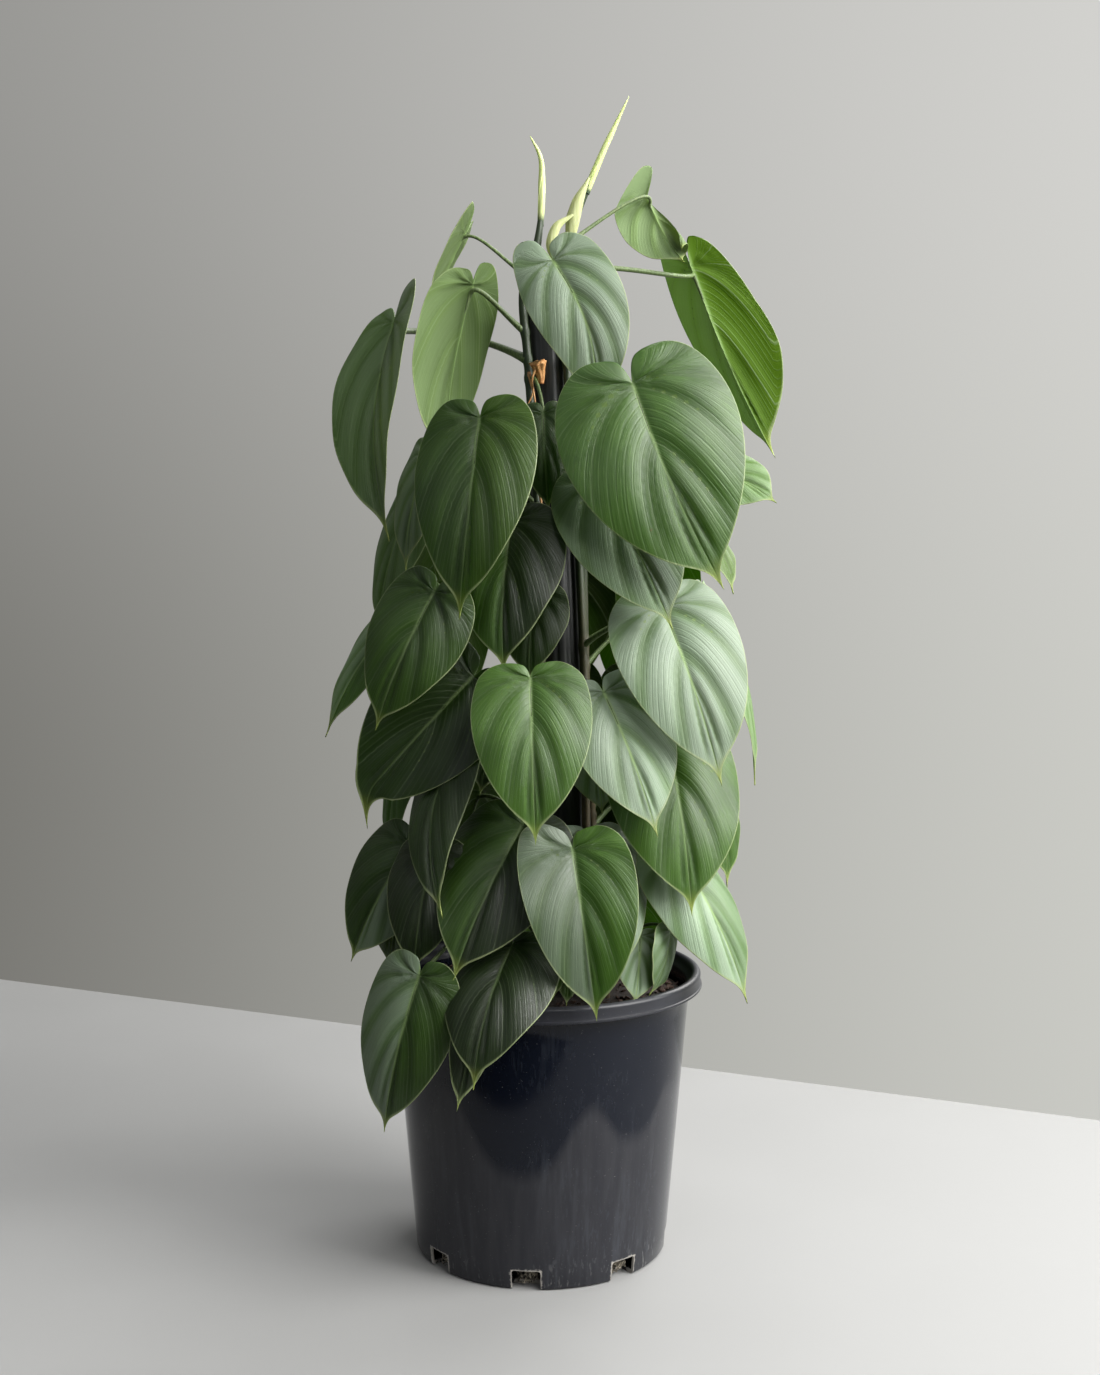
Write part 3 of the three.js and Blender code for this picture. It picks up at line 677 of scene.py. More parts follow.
def bladeShells(blade, rng):
    f = leafForm
    steps = (1 - np.cos(np.pi * np.arange(f["columns"] + 1) / f["columns"])) / 2  # closest at the rib and the margin
    s, u = np.meshgrid(np.linspace(0, 1, f["rows"] + 1), np.append(-steps[:0:-1], steps), indexing="ij")
    t, half = np.abs(u), blade.width / 2
    point, normal, along, across, edge = blade.surface(s, u)
    sides = [veinPlaces(along, across, [rng.uniform(-0.02, 0.02) for _ in f["veins"]]) for _ in range(2)]
    vein = np.where(u < 0, *sides)
    rib = across * half
    margin = (1 - t) * edge * half
    size = half / f["usualHalf"]
    fade = 1 - smoothstep(0.72, 0.97, along)
    swell = np.abs(np.sin(np.pi * vein)) ** 0.8 - 0.6
    swell = swell + f["furrow"] * 0.3 * (np.abs(np.sin(2 * np.pi * vein + 0.4)) - 0.6)
    rise = t / f["pillowPeak"] * np.exp(1 - t / f["pillowPeak"]) * (1 - t ** 5)
    relief = f["pillow"] * size * swell * rise * fade
    relief = relief - f["groove"] * np.exp(-(rib / f["grooveWidth"]) ** 2) * (1 - 0.65 * np.clip(along, 0, 1))
    for _ in range(3):
        slow = rng.uniform(0.5, 1.4) * along + rng.uniform(-0.7, 0.7) * u + rng.random()
        relief = relief + f["warp"] / 3 * size * across * np.sin(2 * np.pi * slow)
    edgeTurn = 2 * np.pi * (rng.uniform(3.5, 5.5) * s + rng.random() + 0.3 * np.sign(u))
    relief = relief + f["ruffle"] * t ** 6 * np.sin(edgeTurn) * np.minimum(edge * 3, 1)
    thick = f["thickness"] / 2 * (1 - 0.5 * t ** 4)
    near = np.abs(vein - np.round(vein))
    keel = f["keel"] * np.exp(-(rib / 1.3) ** 2) * (1 - 0.7 * np.clip(along, 0, 1))
    keel = keel + f["underVein"] * np.exp(-(near / 0.07) ** 2) * fade * (1 - t ** 2)
    front = point + normal * (relief + thick)[..., None]
    back = point + normal * (relief - thick - keel)[..., None]
    marks = {"veinPlace": vein, "ribDistance": rib, "edgeDistance": margin, "alongLeaf": along, "across": u}
    marks = {name: np.tile(value.ravel(), 2) for name, value in marks.items()}
    rows, columns = s.shape
    cells = [
        (i * columns + j, (i + 1) * columns + j, (i + 1) * columns + j + 1, i * columns + j + 1)
        for i in range(rows - 1) for j in range(columns - 1)
    ]
    total = rows * columns
    border = list(range(columns))
    border += [i * columns + columns - 1 for i in range(1, rows)]
    border += [(rows - 1) * columns + j for j in range(columns - 2, -1, -1)]
    border += [i * columns for i in range(rows - 2, 0, -1)]
    rim = [(a, b, b + total, a + total) for a, b in zip(border, border[1:] + border[:1])]
    grid = np.vstack([front.reshape(-1, 3), back.reshape(-1, 3)])
    under = [tuple(k + total for k in reversed(cell)) for cell in cells]
    looks = [0] * len(cells) + [1] * len(under) + [0] * len(rim)
    return shell(grid, cells + under + rim, looks, **marks)


def stalkShell(blade, stem):
    f = leafForm
    radius = (f["stalkRadius"] + f["stalkGrowth"] * blade.length) * blade.stout
    start = onStem(stem, max(blade.node or blade.base[2] - climbing["nodeBelow"], climbing["lowestNode"]))
    end = blade.ribPoint(blade.joint)
    normal = blade.frameAt(np.array([blade.joint]))[2][0]
    behind = end - normal * (radius * 0.9 + f["thickness"])
    reach = end - start
    span = np.linalg.norm(reach)
    outward = unit(np.array([reach[0], reach[1], 0]))
    bend = np.array(blade.bend, float)
    outShare, upShare = f["stalkLeave"]
    leave = start + outward * outShare * span + up * upShare * span + bend
    backShare, upShare = f["stalkArrive"]
    arrive = end - blade.face * backShare * span + up * upShare * span + bend
    share = np.linspace(0, 1, f["stalkRings"])
    path = bezier((start, leave, arrive, behind), share)
    radii = radius * (1 + 0.5 * np.exp(-share * span / 9) - 0.12 * share)
    under = np.linspace(0.03, 0.2, 6)
    ribs = blade.ribPoint(blade.joint + under)
    thin = radius * np.linspace(0.72, 0.15, len(under))
    backing = blade.frameAt(blade.joint + under)[2] * (thin + f["thickness"] * 0.5)[:, None]
    path = np.vstack([path, ribs - backing])
    radii = np.concatenate([radii, thin])
    along = np.linspace(0, 1, len(path))
    return tube(path, radii, f["stalkSides"], look=2, alongStalk=along)


# Materials of the plant
leafLook = {
    "deepGreen": (0.013, 0.036, 0.005),
    "green": (0.036, 0.090, 0.009),
    "lightGreen": (0.068, 0.142, 0.020),
    "fresh": (0.080, 0.155, 0.006),
    # partly a paler tone of the leaf and partly painted sheen
    "grey": (0.140, 0.176, 0.136),
    "veinPale": (0.26, 0.34, 0.17),
    "rib": (0.21, 0.31, 0.115),
    "margin": (0.33, 0.39, 0.19),
    "tipYellow": (0.30, 0.36, 0.06),
    "underside": (0.12, 0.17, 0.055),
    "scar": (0.095, 0.038, 0.015),
    "glow": (0.50, 0.70, 0.03),
    "paleGlow": (0.60, 0.66, 0.34),
    "glowShare": 0.34,
    "underGlowShare": 0.36,
    "shine": 0.5,
    "underShine": 0.1,
    "underRoughness": 0.5,
    "roughness": 0.36,
    "clouds": (22, 3, 0.55),  # noises: scale, detail, roughness and, for some, how they are stretched
    "spots": (95, 2, 0.5),
    "grain": (1500, 2, 0.6),
    "paintedCrestSheen": (0.45, 0.82),  # how much of the grey, a painted sheen, shows in a valley and on a crest
    # painted shade: how dark an upper face grows in the valleys beside the side veins
    "paintedValleyShade": 0.34,
    "palest": (0.5, 1.4),  # the lightest that a green and a grey upper face may be
}


def makeVeining():
    g, inputs, outputs = newGroup(
        "leafVeining",
        [(label, "Float", 0.0) for label in ("Vein place", "Rib distance", "Edge distance", "Along")],
        ("Midrib", "Side veins", "Fine veins", "Streaks", "Margin", "Tip", "Crest"),
    )
    vein, rib, edge, along = inputs[:4]
    width = g.spread(along, 0, 1, 2.0, 0.6)
    midrib = 1 - g.maths("DIVIDE", rib, width, clamp=True)
    fromVein = g.maths("PINGPONG", vein, 0.5)
    fade = g.spread(along, 0.7, 0.95, 1.0, 0.0)
    side = g.spread(fromVein, 0.0, 0.05, 1.0, 0.0) * fade
    crest = 1 - g.spread(fromVein, 0.02, 0.3, 1.0, 0.0) * fade
    many = g.maths("PINGPONG", vein * 7, 0.5)
    fine = g.spread(many, 0.0, 0.16, 1.0, 0.0)
    lines = g.node("CombineXYZ", {0: vein * 15, 1: rib * 0.035})
    streaks = g.noise(lines, 2.2, 4, 0.62)
    margin = g.spread(edge, 0.15, 0.75, 1.0, 0.0)
    tip = g.spread(along, 0.84, 1.0)
    for k, value in enumerate((midrib, side, fine, streaks, margin, tip, crest)):
        g.feed(outputs[k], value)
    return g.tree


leafVeining = makeVeining()


def readVeining(m):
    marks = ("veinPlace", "ribDistance", "edgeDistance", "alongLeaf")
    return m.group(leafVeining, {k: m.attribute(mark) for k, mark in enumerate(marks)})


def makeLeafFace(name, under):
    look = leafLook
    material, m = newMaterial(name, Specular_IOR_Level=look["underShine" if under else "shine"])
    midrib, side, fine, streaks, margin, tip, crest = readVeining(m)
    fresh, grey, shade = (m.attribute(tone) for tone in ("fresh", "grey", "shade"))
    clouds, spots, grain = m.noises(look, "clouds", "spots", "grain")
    green = m.paint(
        look["green"],
        (m.spread(streaks, 0.35, 0.7), look["lightGreen"]),
        (m.spread(clouds, 0.4, 0.75, 0, 0.45), look["deepGreen"]),
        (fresh * 0.85, look["fresh"]),
        # painted sheen on the crests between the veins, and painted shade in the valleys of upper faces
        (grey * m.even(crest, 0, 1, *look["paintedCrestSheen"]), look["grey"]),
        (m.even(crest, 0, 1, 0.0 if under else look["paintedValleyShade"], 0), look["deepGreen"]),
    )
    if under:
        green = m.blend(m.even(fresh, 0, 1, 0.6, 0.0), green, look["underside"])
    else:
        shade = m.maths("MINIMUM", shade, m.even(grey, 0, 1, *look["palest"]))
    # The colour is scaled by the tone's lightness in stops, which is largely painted light and shade
    green = m.paint(
        m.scale(green, 2 ** shade),
        (side * (0.4 if under else 0.1), look["veinPale"]),
        (fine * 0.09, look["veinPale"]),
        (midrib, m.scale(look["rib"], 2 ** (shade * 0.5))),
        (margin * 0.75, look["margin"]),
        (tip * 0.8, look["tipYellow"]),
        (m.spread(spots, 0.79, 0.83, 0, 0.8), look["scar"]),
    )
    base = look["underRoughness" if under else "roughness"]
    rough = m.even(streaks, 0.35, 0.65, base - 0.06, base + 0.09) + m.even(grain, 0.3, 0.7, -0.04, 0.04)
    relief = streaks * 0.6 + grain * 0.12 + fine * (0.25 if under else -0.18) + midrib * (0.9 if under else 0.5)
    m.finish(green, rough, relief, 0.7, 0.9)
    glow = m.blend(grey, look["glow"], look["paleGlow"])
    lit = m.blend(1.0, m.blend(0.6, green, glow), glow, "MULTIPLY")
    m.letLightThrough(lit, look["underGlowShare" if under else "glowShare"])
    return material


stemLook = {
    # the climbing stems are darkened well past their own green: painted shade, where they lie among the leaves
    "stem": ((0.009, 0.020, 0.005), (0.018, 0.034, 0.009)),
    "stalk": ((0.045, 0.078, 0.018), (0.125, 0.175, 0.060)),
    "brown": (0.105, 0.072, 0.038),
    "brownBelow": (0.34, 0.56),  # heights in metres between which a stem turns woody
    "scar": (0.055, 0.032, 0.018),
    "roughness": 0.5,
    "ridges": (900, 3, 0.6, (1, 1, 0.12)),
    "patches": (60, 3, 0.6),
    "flecks": (700, 2, 0.5),
}


def makeStalkLook(name, woody):
    look = stemLook
    material, m = newMaterial(name)
    ridges, patches, flecks = m.noises(look, "ridges", "patches", "flecks")
    green, pale = look["stem" if woody else "stalk"]
    brownShare = m.spread(patches, 0.6, 0.85, 0, 0.3)
    if woody:
        low = m.spread(m.split(m.place())[2], *look["brownBelow"], 0.9, 0)
        brownShare = low * m.spread(patches, 0.3, 0.6, 0.45, 1)
    tint = m.paint(
        green,
        (m.spread(ridges, 0.35, 0.7), pale),
        (brownShare, look["brown"]),
        (m.spread(flecks, 0.68, 0.74, 0, 0.6), look["scar"]),
    )
    rough = m.even(ridges, 0.3, 0.7, look["roughness"] - 0.08, look["roughness"] + 0.12)
    m.finish(tint, rough, ridges, 0.3, 0.5)
    return material


shootLook = {  # colours of the foot, the body and its streaks, then roughness and the light let through
    "rolledLeaf": ((0.020, 0.048, 0.014), (0.62, 0.68, 0.34), (0.50, 0.60, 0.20), 0.45, 0.25),
    "leafSheath": ((0.50, 0.54, 0.24), (0.54, 0.58, 0.32), (0.50, 0.54, 0.24), 0.5, 0.35),
    "drySheath": ((0.36, 0.13, 0.030), (0.36, 0.13, 0.030), (0.60, 0.34, 0.13), 0.6, 0),
    "aerialRoot": ((0.30, 0.125, 0.045), (0.30, 0.125, 0.045), (0.46, 0.27, 0.12), 0.7, 0),
}
shootNoises = {"fibres": (1100, 3, 0.6, (1, 1, 0.08)), "clouds": (90, 2, 0.5)}


def makeShootLook(name, foot, body, streak, roughness, glow):
    material, m = newMaterial(name)
    fibres, clouds = m.noises(shootNoises, "fibres", "clouds")
    tint = m.paint(
        body,
        (m.spread(fibres, 0.38, 0.68), streak),
        (m.spread(clouds, 0.4, 0.7, 0, 0.35), streak),
        (m.spread(m.attribute("alongShoot"), 0.03, 0.12, 1, 0), foot),
    )
    m.finish(tint, m.even(fibres, 0.3, 0.7, roughness - 0.07, roughness + 0.1), fibres, 0.25, 0.55)
    if glow:
        m.letLightThrough(tint, glow)
    return material


leafUpper = makeLeafFace("leafUpper", under=False)
leafUnder = makeLeafFace("leafUnder", under=True)
stalkMaterial = makeStalkLook("leafStalk", woody=False)
stemMaterial = makeStalkLook("climbingStem", woody=True)
shootMaterials = {name: makeShootLook(name, *look) for name, look in shootLook.items()}

vineNodes = {
    "frontLeft": "vine_front_left",
    "frontRight": "vine_front_right",
    "right": "vine_right",
    "back": "vine_back",
    "left": "vine_left",
}


def makeLeaves():
    for stem, vine in vineNodes.items():
        named = leafTones[stem].split()
        for number, leaf in enumerate(leaves[stem]):
            rng = random.Random(f"{stem} {number}")
            blade = Blade(leaf)
            tone = named[number] if number < len(named) else rng.choice(("mid", "deep", "mid", "satin"))
            left, right = (np.array(tones[word]) for word in (tone.split("/") * 2)[:2])
            face = bladeShells(blade, rng)
            # Each half takes its tone: the lightness is largely painted light and shade, with a small random change
            # of the leaf's own
            rightShare = smoothstep(-0.06, 0.06, face["marks"].pop("across"))[:, None]
            tint = left * (1 - rightShare) + right * rightShare + (0, 0, rng.uniform(-0.18, 0.18))
            face["marks"].update(zip(("fresh", "grey", "shade"), tint.T))
            name = f"leaf{capital(stem)}{number + 1}"
            looks = [leafUpper, leafUnder, stalkMaterial]
            makePiece(name, [face, stalkShell(blade, stem)], looks, [vine])


makeLeaves()
print("leaves made:", sum(len(group) for group in leaves.values()))


# Stems, with a swollen joint and a ring where each leaf stalk leaves
stemForm = {
    "sides": 16,
    "inset": 0.25,
    "joint": 0.75,
    "jointWidth": 3.2,
    "ring": 0.22,
    "ringWidth": 0.7,
    "ringAbove": 5,
    "groove": 0.16,
    "grooves": 5,
    "taper": 0.25,
    "taperFrom": 0.93,
}


def makeStems():
    f = stemForm
    for name, vine in vineNodes.items():
        path = stemPath(stemPlan[name], 321)
        heights = [leaf.get("node") or leaf["notch"][2] - climbing["nodeBelow"] for leaf in leaves[name]]
        plain = climbing["radius"] - f["inset"]
        radii = np.full(len(path), plain)
        for height in heights:
            away = (path[:, 2] - max(height, climbing["lowestNode"])) / f["jointWidth"]
            radii = np.maximum(radii, plain + f["joint"] * np.exp(-away ** 2))
            fromRing = (path[:, 2] - height - f["ringAbove"]) / f["ringWidth"]
            radii = radii - f["ring"] * np.exp(-fromRing ** 2)
        radii = radii * (1 - f["taper"] * smoothstep(f["taperFrom"], 1, np.linspace(0, 1, len(path))))
        turns = np.arange(f["sides"]) * 2 * math.pi / f["sides"]
        ribs = 1 - f["groove"] / climbing["radius"] * np.cos(f["grooves"] * turns)
        shells = [tube(path, radii[:, None] * ribs, f["sides"])]
        makePiece(f"stem{capital(name)}", shells, [stemMaterial], [vine])


makeStems()
print("stems made")


# Young growth: rolled leaves, their sheaths, and aerial roots
rolledLeaves = {
    "rolledLeafLeft": (
        "frontLeft", [(0, -10, 782), (1, -10, 812), (0, -10, 832), (-8, -10, 848.5)], [2.4, 2.9, 1.9, 0.35]),
    "rolledLeafRight": (
        "frontRight", [(34, -10, 806), (40, -10, 821), (50, -10, 844), (66, -10, 877.5)], [2.6, 2.9, 2.5, 0.35]),
    "rolledLeafBack": ("back", [(5, 27, 719), (6, 30, 738), (4, 33, 752), (-3, 36, 768)], [2.6, 2.8, 2, 0.4]),
}
sheaths = {
    "sheathUpper": (
        "frontRight", [(22, -9, 772), (24, -11, 786), (28, -12, 800), (36, -12, 817)], [3.6, 5.6, 4.6, 0.7]),
    "sheathLower": (
        "frontRight", [(14, -14, 752), (8, -17, 766), (12, -18, 780), (24, -17, 789)], [2.2, 4.2, 3.6, 0.8]),
}
drySheath = {
    "stem": "frontLeft",
    "path": [(0, -24, 664), (0, -25, 669), (-1, -26, 674), (-2, -28, 679)],
    "radii": (2.6, 3.0, 4.2, 6.2),
    "folds": 7,
    "foldDepth": 0.16,
    "raggedness": 0.1,
    "thread": [(-3, -29, 676), (-6, -30, 667), (-6, -29, 656), (-11, -28, 645)],
}
shootForm = {
    "rings": 72,
    "sides": 40,
    "seam": 0.16,  # how far the rolled edge stands out, as a share of the radius
    "seamTurns": 0.7,
    "seamSwell": 1.25,
    "seamEnd": 0.997,  # how nearly the last side closes the turn
    "rolledPoint": (0.9, 0.6, 0.25),  # the last rings, as shares of their radius
    "rootPoint": (0.8, 0.4),
    "keel": 0.22,
    "wrinkle": 0.02,
    "rootRadius": 1.7,
    "rootKnots": 0.12,
    "threadRadius": 0.9,
    "thinSides": 12,
    "aerialRoots": {"frontLeft": (676, 596), "right": (560,), "back": (520,), "left": (480,)},
    "rootSteps": ((0, 0, 0), (3, 4, -5), (3, 7, -14), (1, 8, -26)),  # outward, sideways, up
}


def evenRadii(radii, share, reach):  # radii at four places, drawn into one curve
    radii = np.interp(share * 3, range(4), radii)
    return np.convolve(np.pad(radii, reach, mode="edge"), np.ones(2 * reach + 1) / (2 * reach + 1), mode="valid")


def makeShoot(name, look, stem, shells):
    makePiece(name, shells, [shootMaterials[look]], [vineNodes[stem]])


def makeShoots():
    f = shootForm
    share = np.linspace(0, 1, f["rings"])
    down, turns = share[:, None], np.arange(f["sides"]) / f["sides"]
    around = np.append(np.linspace(0, 1, f["sides"] - 1, endpoint=False), f["seamEnd"])
    wrap = 1 - f["seam"] + f["seam"] * f["seamSwell"] * around
    for name, (stem, path, radii) in rolledLeaves.items():
        radii = evenRadii(radii, share, 4)
        radii[-3:] *= f["rolledPoint"]
        shells = [tube(
            smoothPath(path, f["rings"]), radii[:, None] * wrap, f["sides"],
            twist=f["seamTurns"] * 2 * math.pi, turns=2 * math.pi * around, alongShoot=share)]
        makeShoot(name, "rolledLeaf", stem, shells)
    keels = 1 - f["keel"] + f["keel"] * np.abs(np.cos(2 * math.pi * turns)) ** 6
    wrinkles = 1 + f["wrinkle"] * np.sin(2 * math.pi * (7 * turns + 3 * down))
    for name, (stem, path, radii) in sheaths.items():
        radii = evenRadii(radii, share, 6)[:, None] * keels * wrinkles
        makeShoot(name, "leafSheath", stem, [tube(smoothPath(path, f["rings"]), radii, f["sides"], alongShoot=share)])
    dry = drySheath
    radii = np.interp(share * 3, range(4), dry["radii"])[:, None]
    folds = 1 + dry["foldDepth"] * down * np.sin(2 * math.pi * (dry["folds"] * turns + 0.4 * down))
    ragged = 1 + dry["raggedness"] * down ** 4 * np.sin(2 * math.pi * (3 * turns + 0.2))
    funnel = tube(smoothPath(dry["path"], f["rings"]), radii * folds * ragged, f["sides"], alongShoot=share)
    thread = tube(
        smoothPath(dry["thread"], f["rings"]), f["threadRadius"] - 0.5 * share, f["thinSides"], alongShoot=share)
    makeShoot("drySheath", "drySheath", dry["stem"], [funnel, thread])
    for stem, heights in f["aerialRoots"].items():
        azimuth = stemPlan[stem]["azimuth"]
        out, aside = heading(azimuth), heading(azimuth + 90)
        for number, height in enumerate(heights):
            points = [onStem(stem, height) + out * o + aside * a + up * d for o, a, d in f["rootSteps"]]
            radii = (f["rootRadius"] - share) * (1 + f["rootKnots"] * np.sin(19 * share) * np.sin(43 * share))
            radii[-2:] *= f["rootPoint"]
            root = tube(smoothPath(points, f["rings"]), radii, f["thinSides"], alongShoot=share)
            makeShoot(f"aerialRoot{capital(stem)}{number + 1}", "aerialRoot", stem, [root])


makeShoots()
print("shoots and aerial roots made")


# Pole: dark film wrapped round the core, in upright pleats
poleForm = {
    "rings": 130,
    "sides": 144,
    "pleats": (11, 17, 29),
    "depths": (0.55, 0.4, 0.22),
    "drift": 0.35,
    "wrap": 0.3,
    "wrapTurns": 9,
    "cap": 9,  # height of the rounded top, and how wide it still is at its very end
    "capWidth": 0.55,
}
poleLook = {
    "film": (0.005, 0.006, 0.006),
    "worn": (0.022, 0.023, 0.022),
    "roughness": 0.5,
    "creases": (240, 4, 0.6, (1, 1, 0.08)),
    "scuffs": (60, 4, 0.65),
}


def makePoleLook():
    look = poleLook
    material, m = newMaterial("poleFilm")
    creases, scuffs = m.noises(look, "creases", "scuffs")
    tint = m.paint(
        look["film"],
        (m.spread(creases, 0.5, 0.8, 0, 0.8), look["worn"]),
        (m.spread(scuffs, 0.6, 0.8, 0, 0.5), look["worn"]),
    )
    m.finish(tint, m.even(scuffs, 0.3, 0.75, look["roughness"] - 0.1, look["roughness"] + 0.2), creases, 0.8, 0.5)
    return material


def makePole():
    f = poleForm
    share = np.linspace(0, 1, f["rings"])
    path = np.array([poleAxis(pole["foot"] + (pole["top"] - pole["foot"]) * k) for k in share])
    turns = 2 * math.pi * np.arange(f["sides"]) / f["sides"]
    inward = np.zeros((f["rings"], f["sides"]))
    for number, (pleats, depth) in enumerate(zip(f["pleats"], f["depths"])):
        drift = f["drift"] * np.sin(2 * math.pi * (1.3 + 0.7 * number) * share + number)
        fold = np.abs(np.sin(pleats / 2 * turns[None, :] + drift[:, None]))
        inward += depth * (1 - fold) ** 2
    wound = 2 * math.pi * (f["wrapTurns"] * share[:, None] + turns[None, :] / 2 / math.pi)
    wrap = f["wrap"] * (0.5 + 0.5 * np.sin(wound))
    radii = pole["radius"] - inward - wrap
    fromTop = (1 - share) * (pole["top"] - pole["foot"])
    below = np.clip(fromTop / f["cap"], 0, 1)
    close = np.sqrt(below * (2 - below))
    radii = radii * (f["capWidth"] + (1 - f["capWidth"]) * close)[:, None]
    makePiece("climbingPole", [tube(path, radii, f["sides"])], [makePoleLook()], ["pole"])


makePole()
print("pole made")


# Pot: a moulded wall, a rolled rim and square drain notches round its foot
potForm = {
    "outline": [  # half section, from the middle of the floor round to the inside
        (0, 0), (94, 0), (95.6, 0.3), (96.9, 1.2), (97.5, 2.5), (115, 202), (115.4, 202.9), (116.6, 203.6),
        (122.2, 204.4), (123.9, 204.7), (124.8, 205.2), (125, 205.9), (124.8, 206.6), (124.1, 207.1),
        (123.8, 208.2), (123.7, 212.6), (124.0, 213.8), (123.9, 214.9), (123.2, 216.0), (122.0, 216.8),
        (120.6, 217), (119.2, 216.7), (118.1, 215.9), (117.3, 214.6), (116.6, 212.6), (115.2, 210.2),
        (113.6, 208.8), (112.9, 207.2), (112.8, 200), (95.3, 3), (0, 3),
    ],
    "sides": 240,
    "notches": 8,
    "firstNotch": -6.2,
    "notchWidth": 21.6,
    "notchHeight": 15,
    "notchDepth": 13,
    "corner": 2.2,
    "baseRadius": 97.5,
}
potLook = {
    "plastic": (0.0026, 0.0040, 0.0085),
    # a lighter grey, which paints the floor's reflection low on the wall and tints the rim
    "worn": (0.0230, 0.0235, 0.0275),
    "paintedReflectionTop": 165,  # where the painted reflection of the floor ends, and how far it dips: azimuth, half width, depth
    "paintedReflectionDips": (
        (-8, 24, 74), (40, 17, 52), (74, 14, 30), (112, 22, 64), (158, 17, 38), (-152, 22, 60), (-104, 16, 34),
        (-62, 18, 46),
    ),
    "rimFrom": (0.2032, 0.2045),
    "dust": (0.13, 0.13, 0.125),
    "scuff": (0.36, 0.34, 0.31),
    "water": (0.040, 0.046, 0.058),
    "shine": 0.24,
    "roughness": 0.12,
    "flow": (150, 4, 0.6, (1, 1, 0.05)),
    "drops": (420, 3, 0.6, (1, 1, 0.3)),
    "film": (9, 4, 0.6),
    "specks": (900, 2, 0.5),
    "wall": (30, 2, 0.5, (1, 1, 0.35)),
    "grain": (1300, 2, 0.5),
    "scuffReach": (0.0004, 0.0022),
}


def lathe(outline, sides, look=0, steps=None):
    ring = np.arange(sides) * 2 * math.pi / sides
    rows = []
    for (r0, z0), (r1, z1) in zip(outline, outline[1:]):
        parts = max(1, int(math.hypot(r1 - r0, z1 - z0) / steps)) if steps else 1
        rows += [(r0 + (r1 - r0) * k / parts, z0 + (z1 - z0) * k / parts) for k in range(parts)]
    rows.append(outline[-1])
    points = [(r * math.cos(a), r * math.sin(a), z) for r, z in rows for a in ring]
    return shell(points, ringFaces(len(rows), sides, capped=False), look)


def notchCutter(f, azimuth):
    half, corner = f["notchWidth"] / 2, f["corner"]
    arch = [(-half, -2), (half, -2), (half, f["notchHeight"] - corner)]
    for turn in range(15, 90, 15):
        a = math.radians(turn)
        arch.append((half - corner + corner * math.cos(a), f["notchHeight"] - corner + corner * math.sin(a)))
    arch.append((half - corner, f["notchHeight"]))
    arch += [(-x, z) for x, z in reversed(arch[2:])]
    out, aside = heading(azimuth), heading(azimuth + 90)
    points = [
        out * (f["baseRadius"] + away) + aside * x + up * z
        for away in (-f["notchDepth"], f["notchDepth"]) for x, z in arch
    ]
    return shell(points, ringFaces(2, len(arch)))


def makePot():
    f = potForm
    pot = makePiece("nurseryPot", [lathe(f["outline"], f["sides"], steps=12)], [], ["pot"])
    cutters = [notchCutter(f, f["firstNotch"] + 360 / f["notches"] * k) for k in range(f["notches"])]
    points, faces, _, _ = joinShells(cutters)
    mesh = newMesh("notchCutters", points, faces)
    cutter = newObject("notchCutters", mesh)
    for each in (mesh, pot.data):
        editMesh(each, lambda work: bmesh.ops.recalc_face_normals(work, faces=work.faces))
    cut = pot.modifiers.new("notches", "BOOLEAN")
    cut.operation, cut.object, cut.solver = "DIFFERENCE", cutter, "EXACT"
    depsgraph = bpy.context.evaluated_depsgraph_get()
    made = bpy.data.meshes.new_from_object(pot.evaluated_get(depsgraph))
    pot.modifiers.clear()
    pot.data = made
    bpy.data.objects.remove(cutter)
    smoothFaces(made, sharp=32)
    made.materials.clear()
    made.materials.append(makePotLook())
    return pot


def makeNotchScuff():
    f = potForm
    g, inputs, outputs = newGroup("notchScuff", [("Place", "Vector", (0, 0, 0))], ["Scuff"])
    x, y, z = g.split(inputs[0])
    angle = g.maths("ARCTAN2", x, y * -1)
    step = 2 * math.pi / f["notches"]
    shifted = angle + (20 * step - math.radians(f["firstNotch"]))  # whole steps keep it above 0
    folded = g.maths("PINGPONG", shifted, step / 2)
    aside = folded * (f["baseRadius"] * mm)
    overSide = g.maths("MAXIMUM", aside - f["notchWidth"] / 2 * mm, 0)
    overTop = g.maths("MAXIMUM", z - f["notchHeight"] * mm, 0)
    away = (overSide ** 2 + overTop ** 2) ** 0.5
    rough = g.noise(inputs[0], 420, 3, 0.6)
    reach = g.spread(rough, 0.3, 0.7, *potLook["scuffReach"])
    scuff = 1 - g.maths("DIVIDE", away, reach, clamp=True)
    g.feed(outputs[0], scuff)
    return g.tree


# Painted reflection: the height below which the wall is lighter with the floor's reflection, dipping in eight places
def makePaintedReflectionEdge():
    g, inputs, outputs = newGroup("paintedReflectionEdge", [("Place", "Vector", (0, 0, 0))], ["Height"])
    x, y, _ = g.split(inputs[0])
    angle = g.maths("ARCTAN2", x, y * -1)
    height = potLook["paintedReflectionTop"] * mm
    for azimuth, wide, deep in potLook["paintedReflectionDips"]:
        away = angle - math.radians(azimuth)
        away = g.maths("ABSOLUTE", away / math.radians(wide)) ** 3
        dip = g.maths("EXPONENT", away * -1)
        height = height - dip * (deep * mm)
    g.feed(outputs[0], height)
    return g.tree


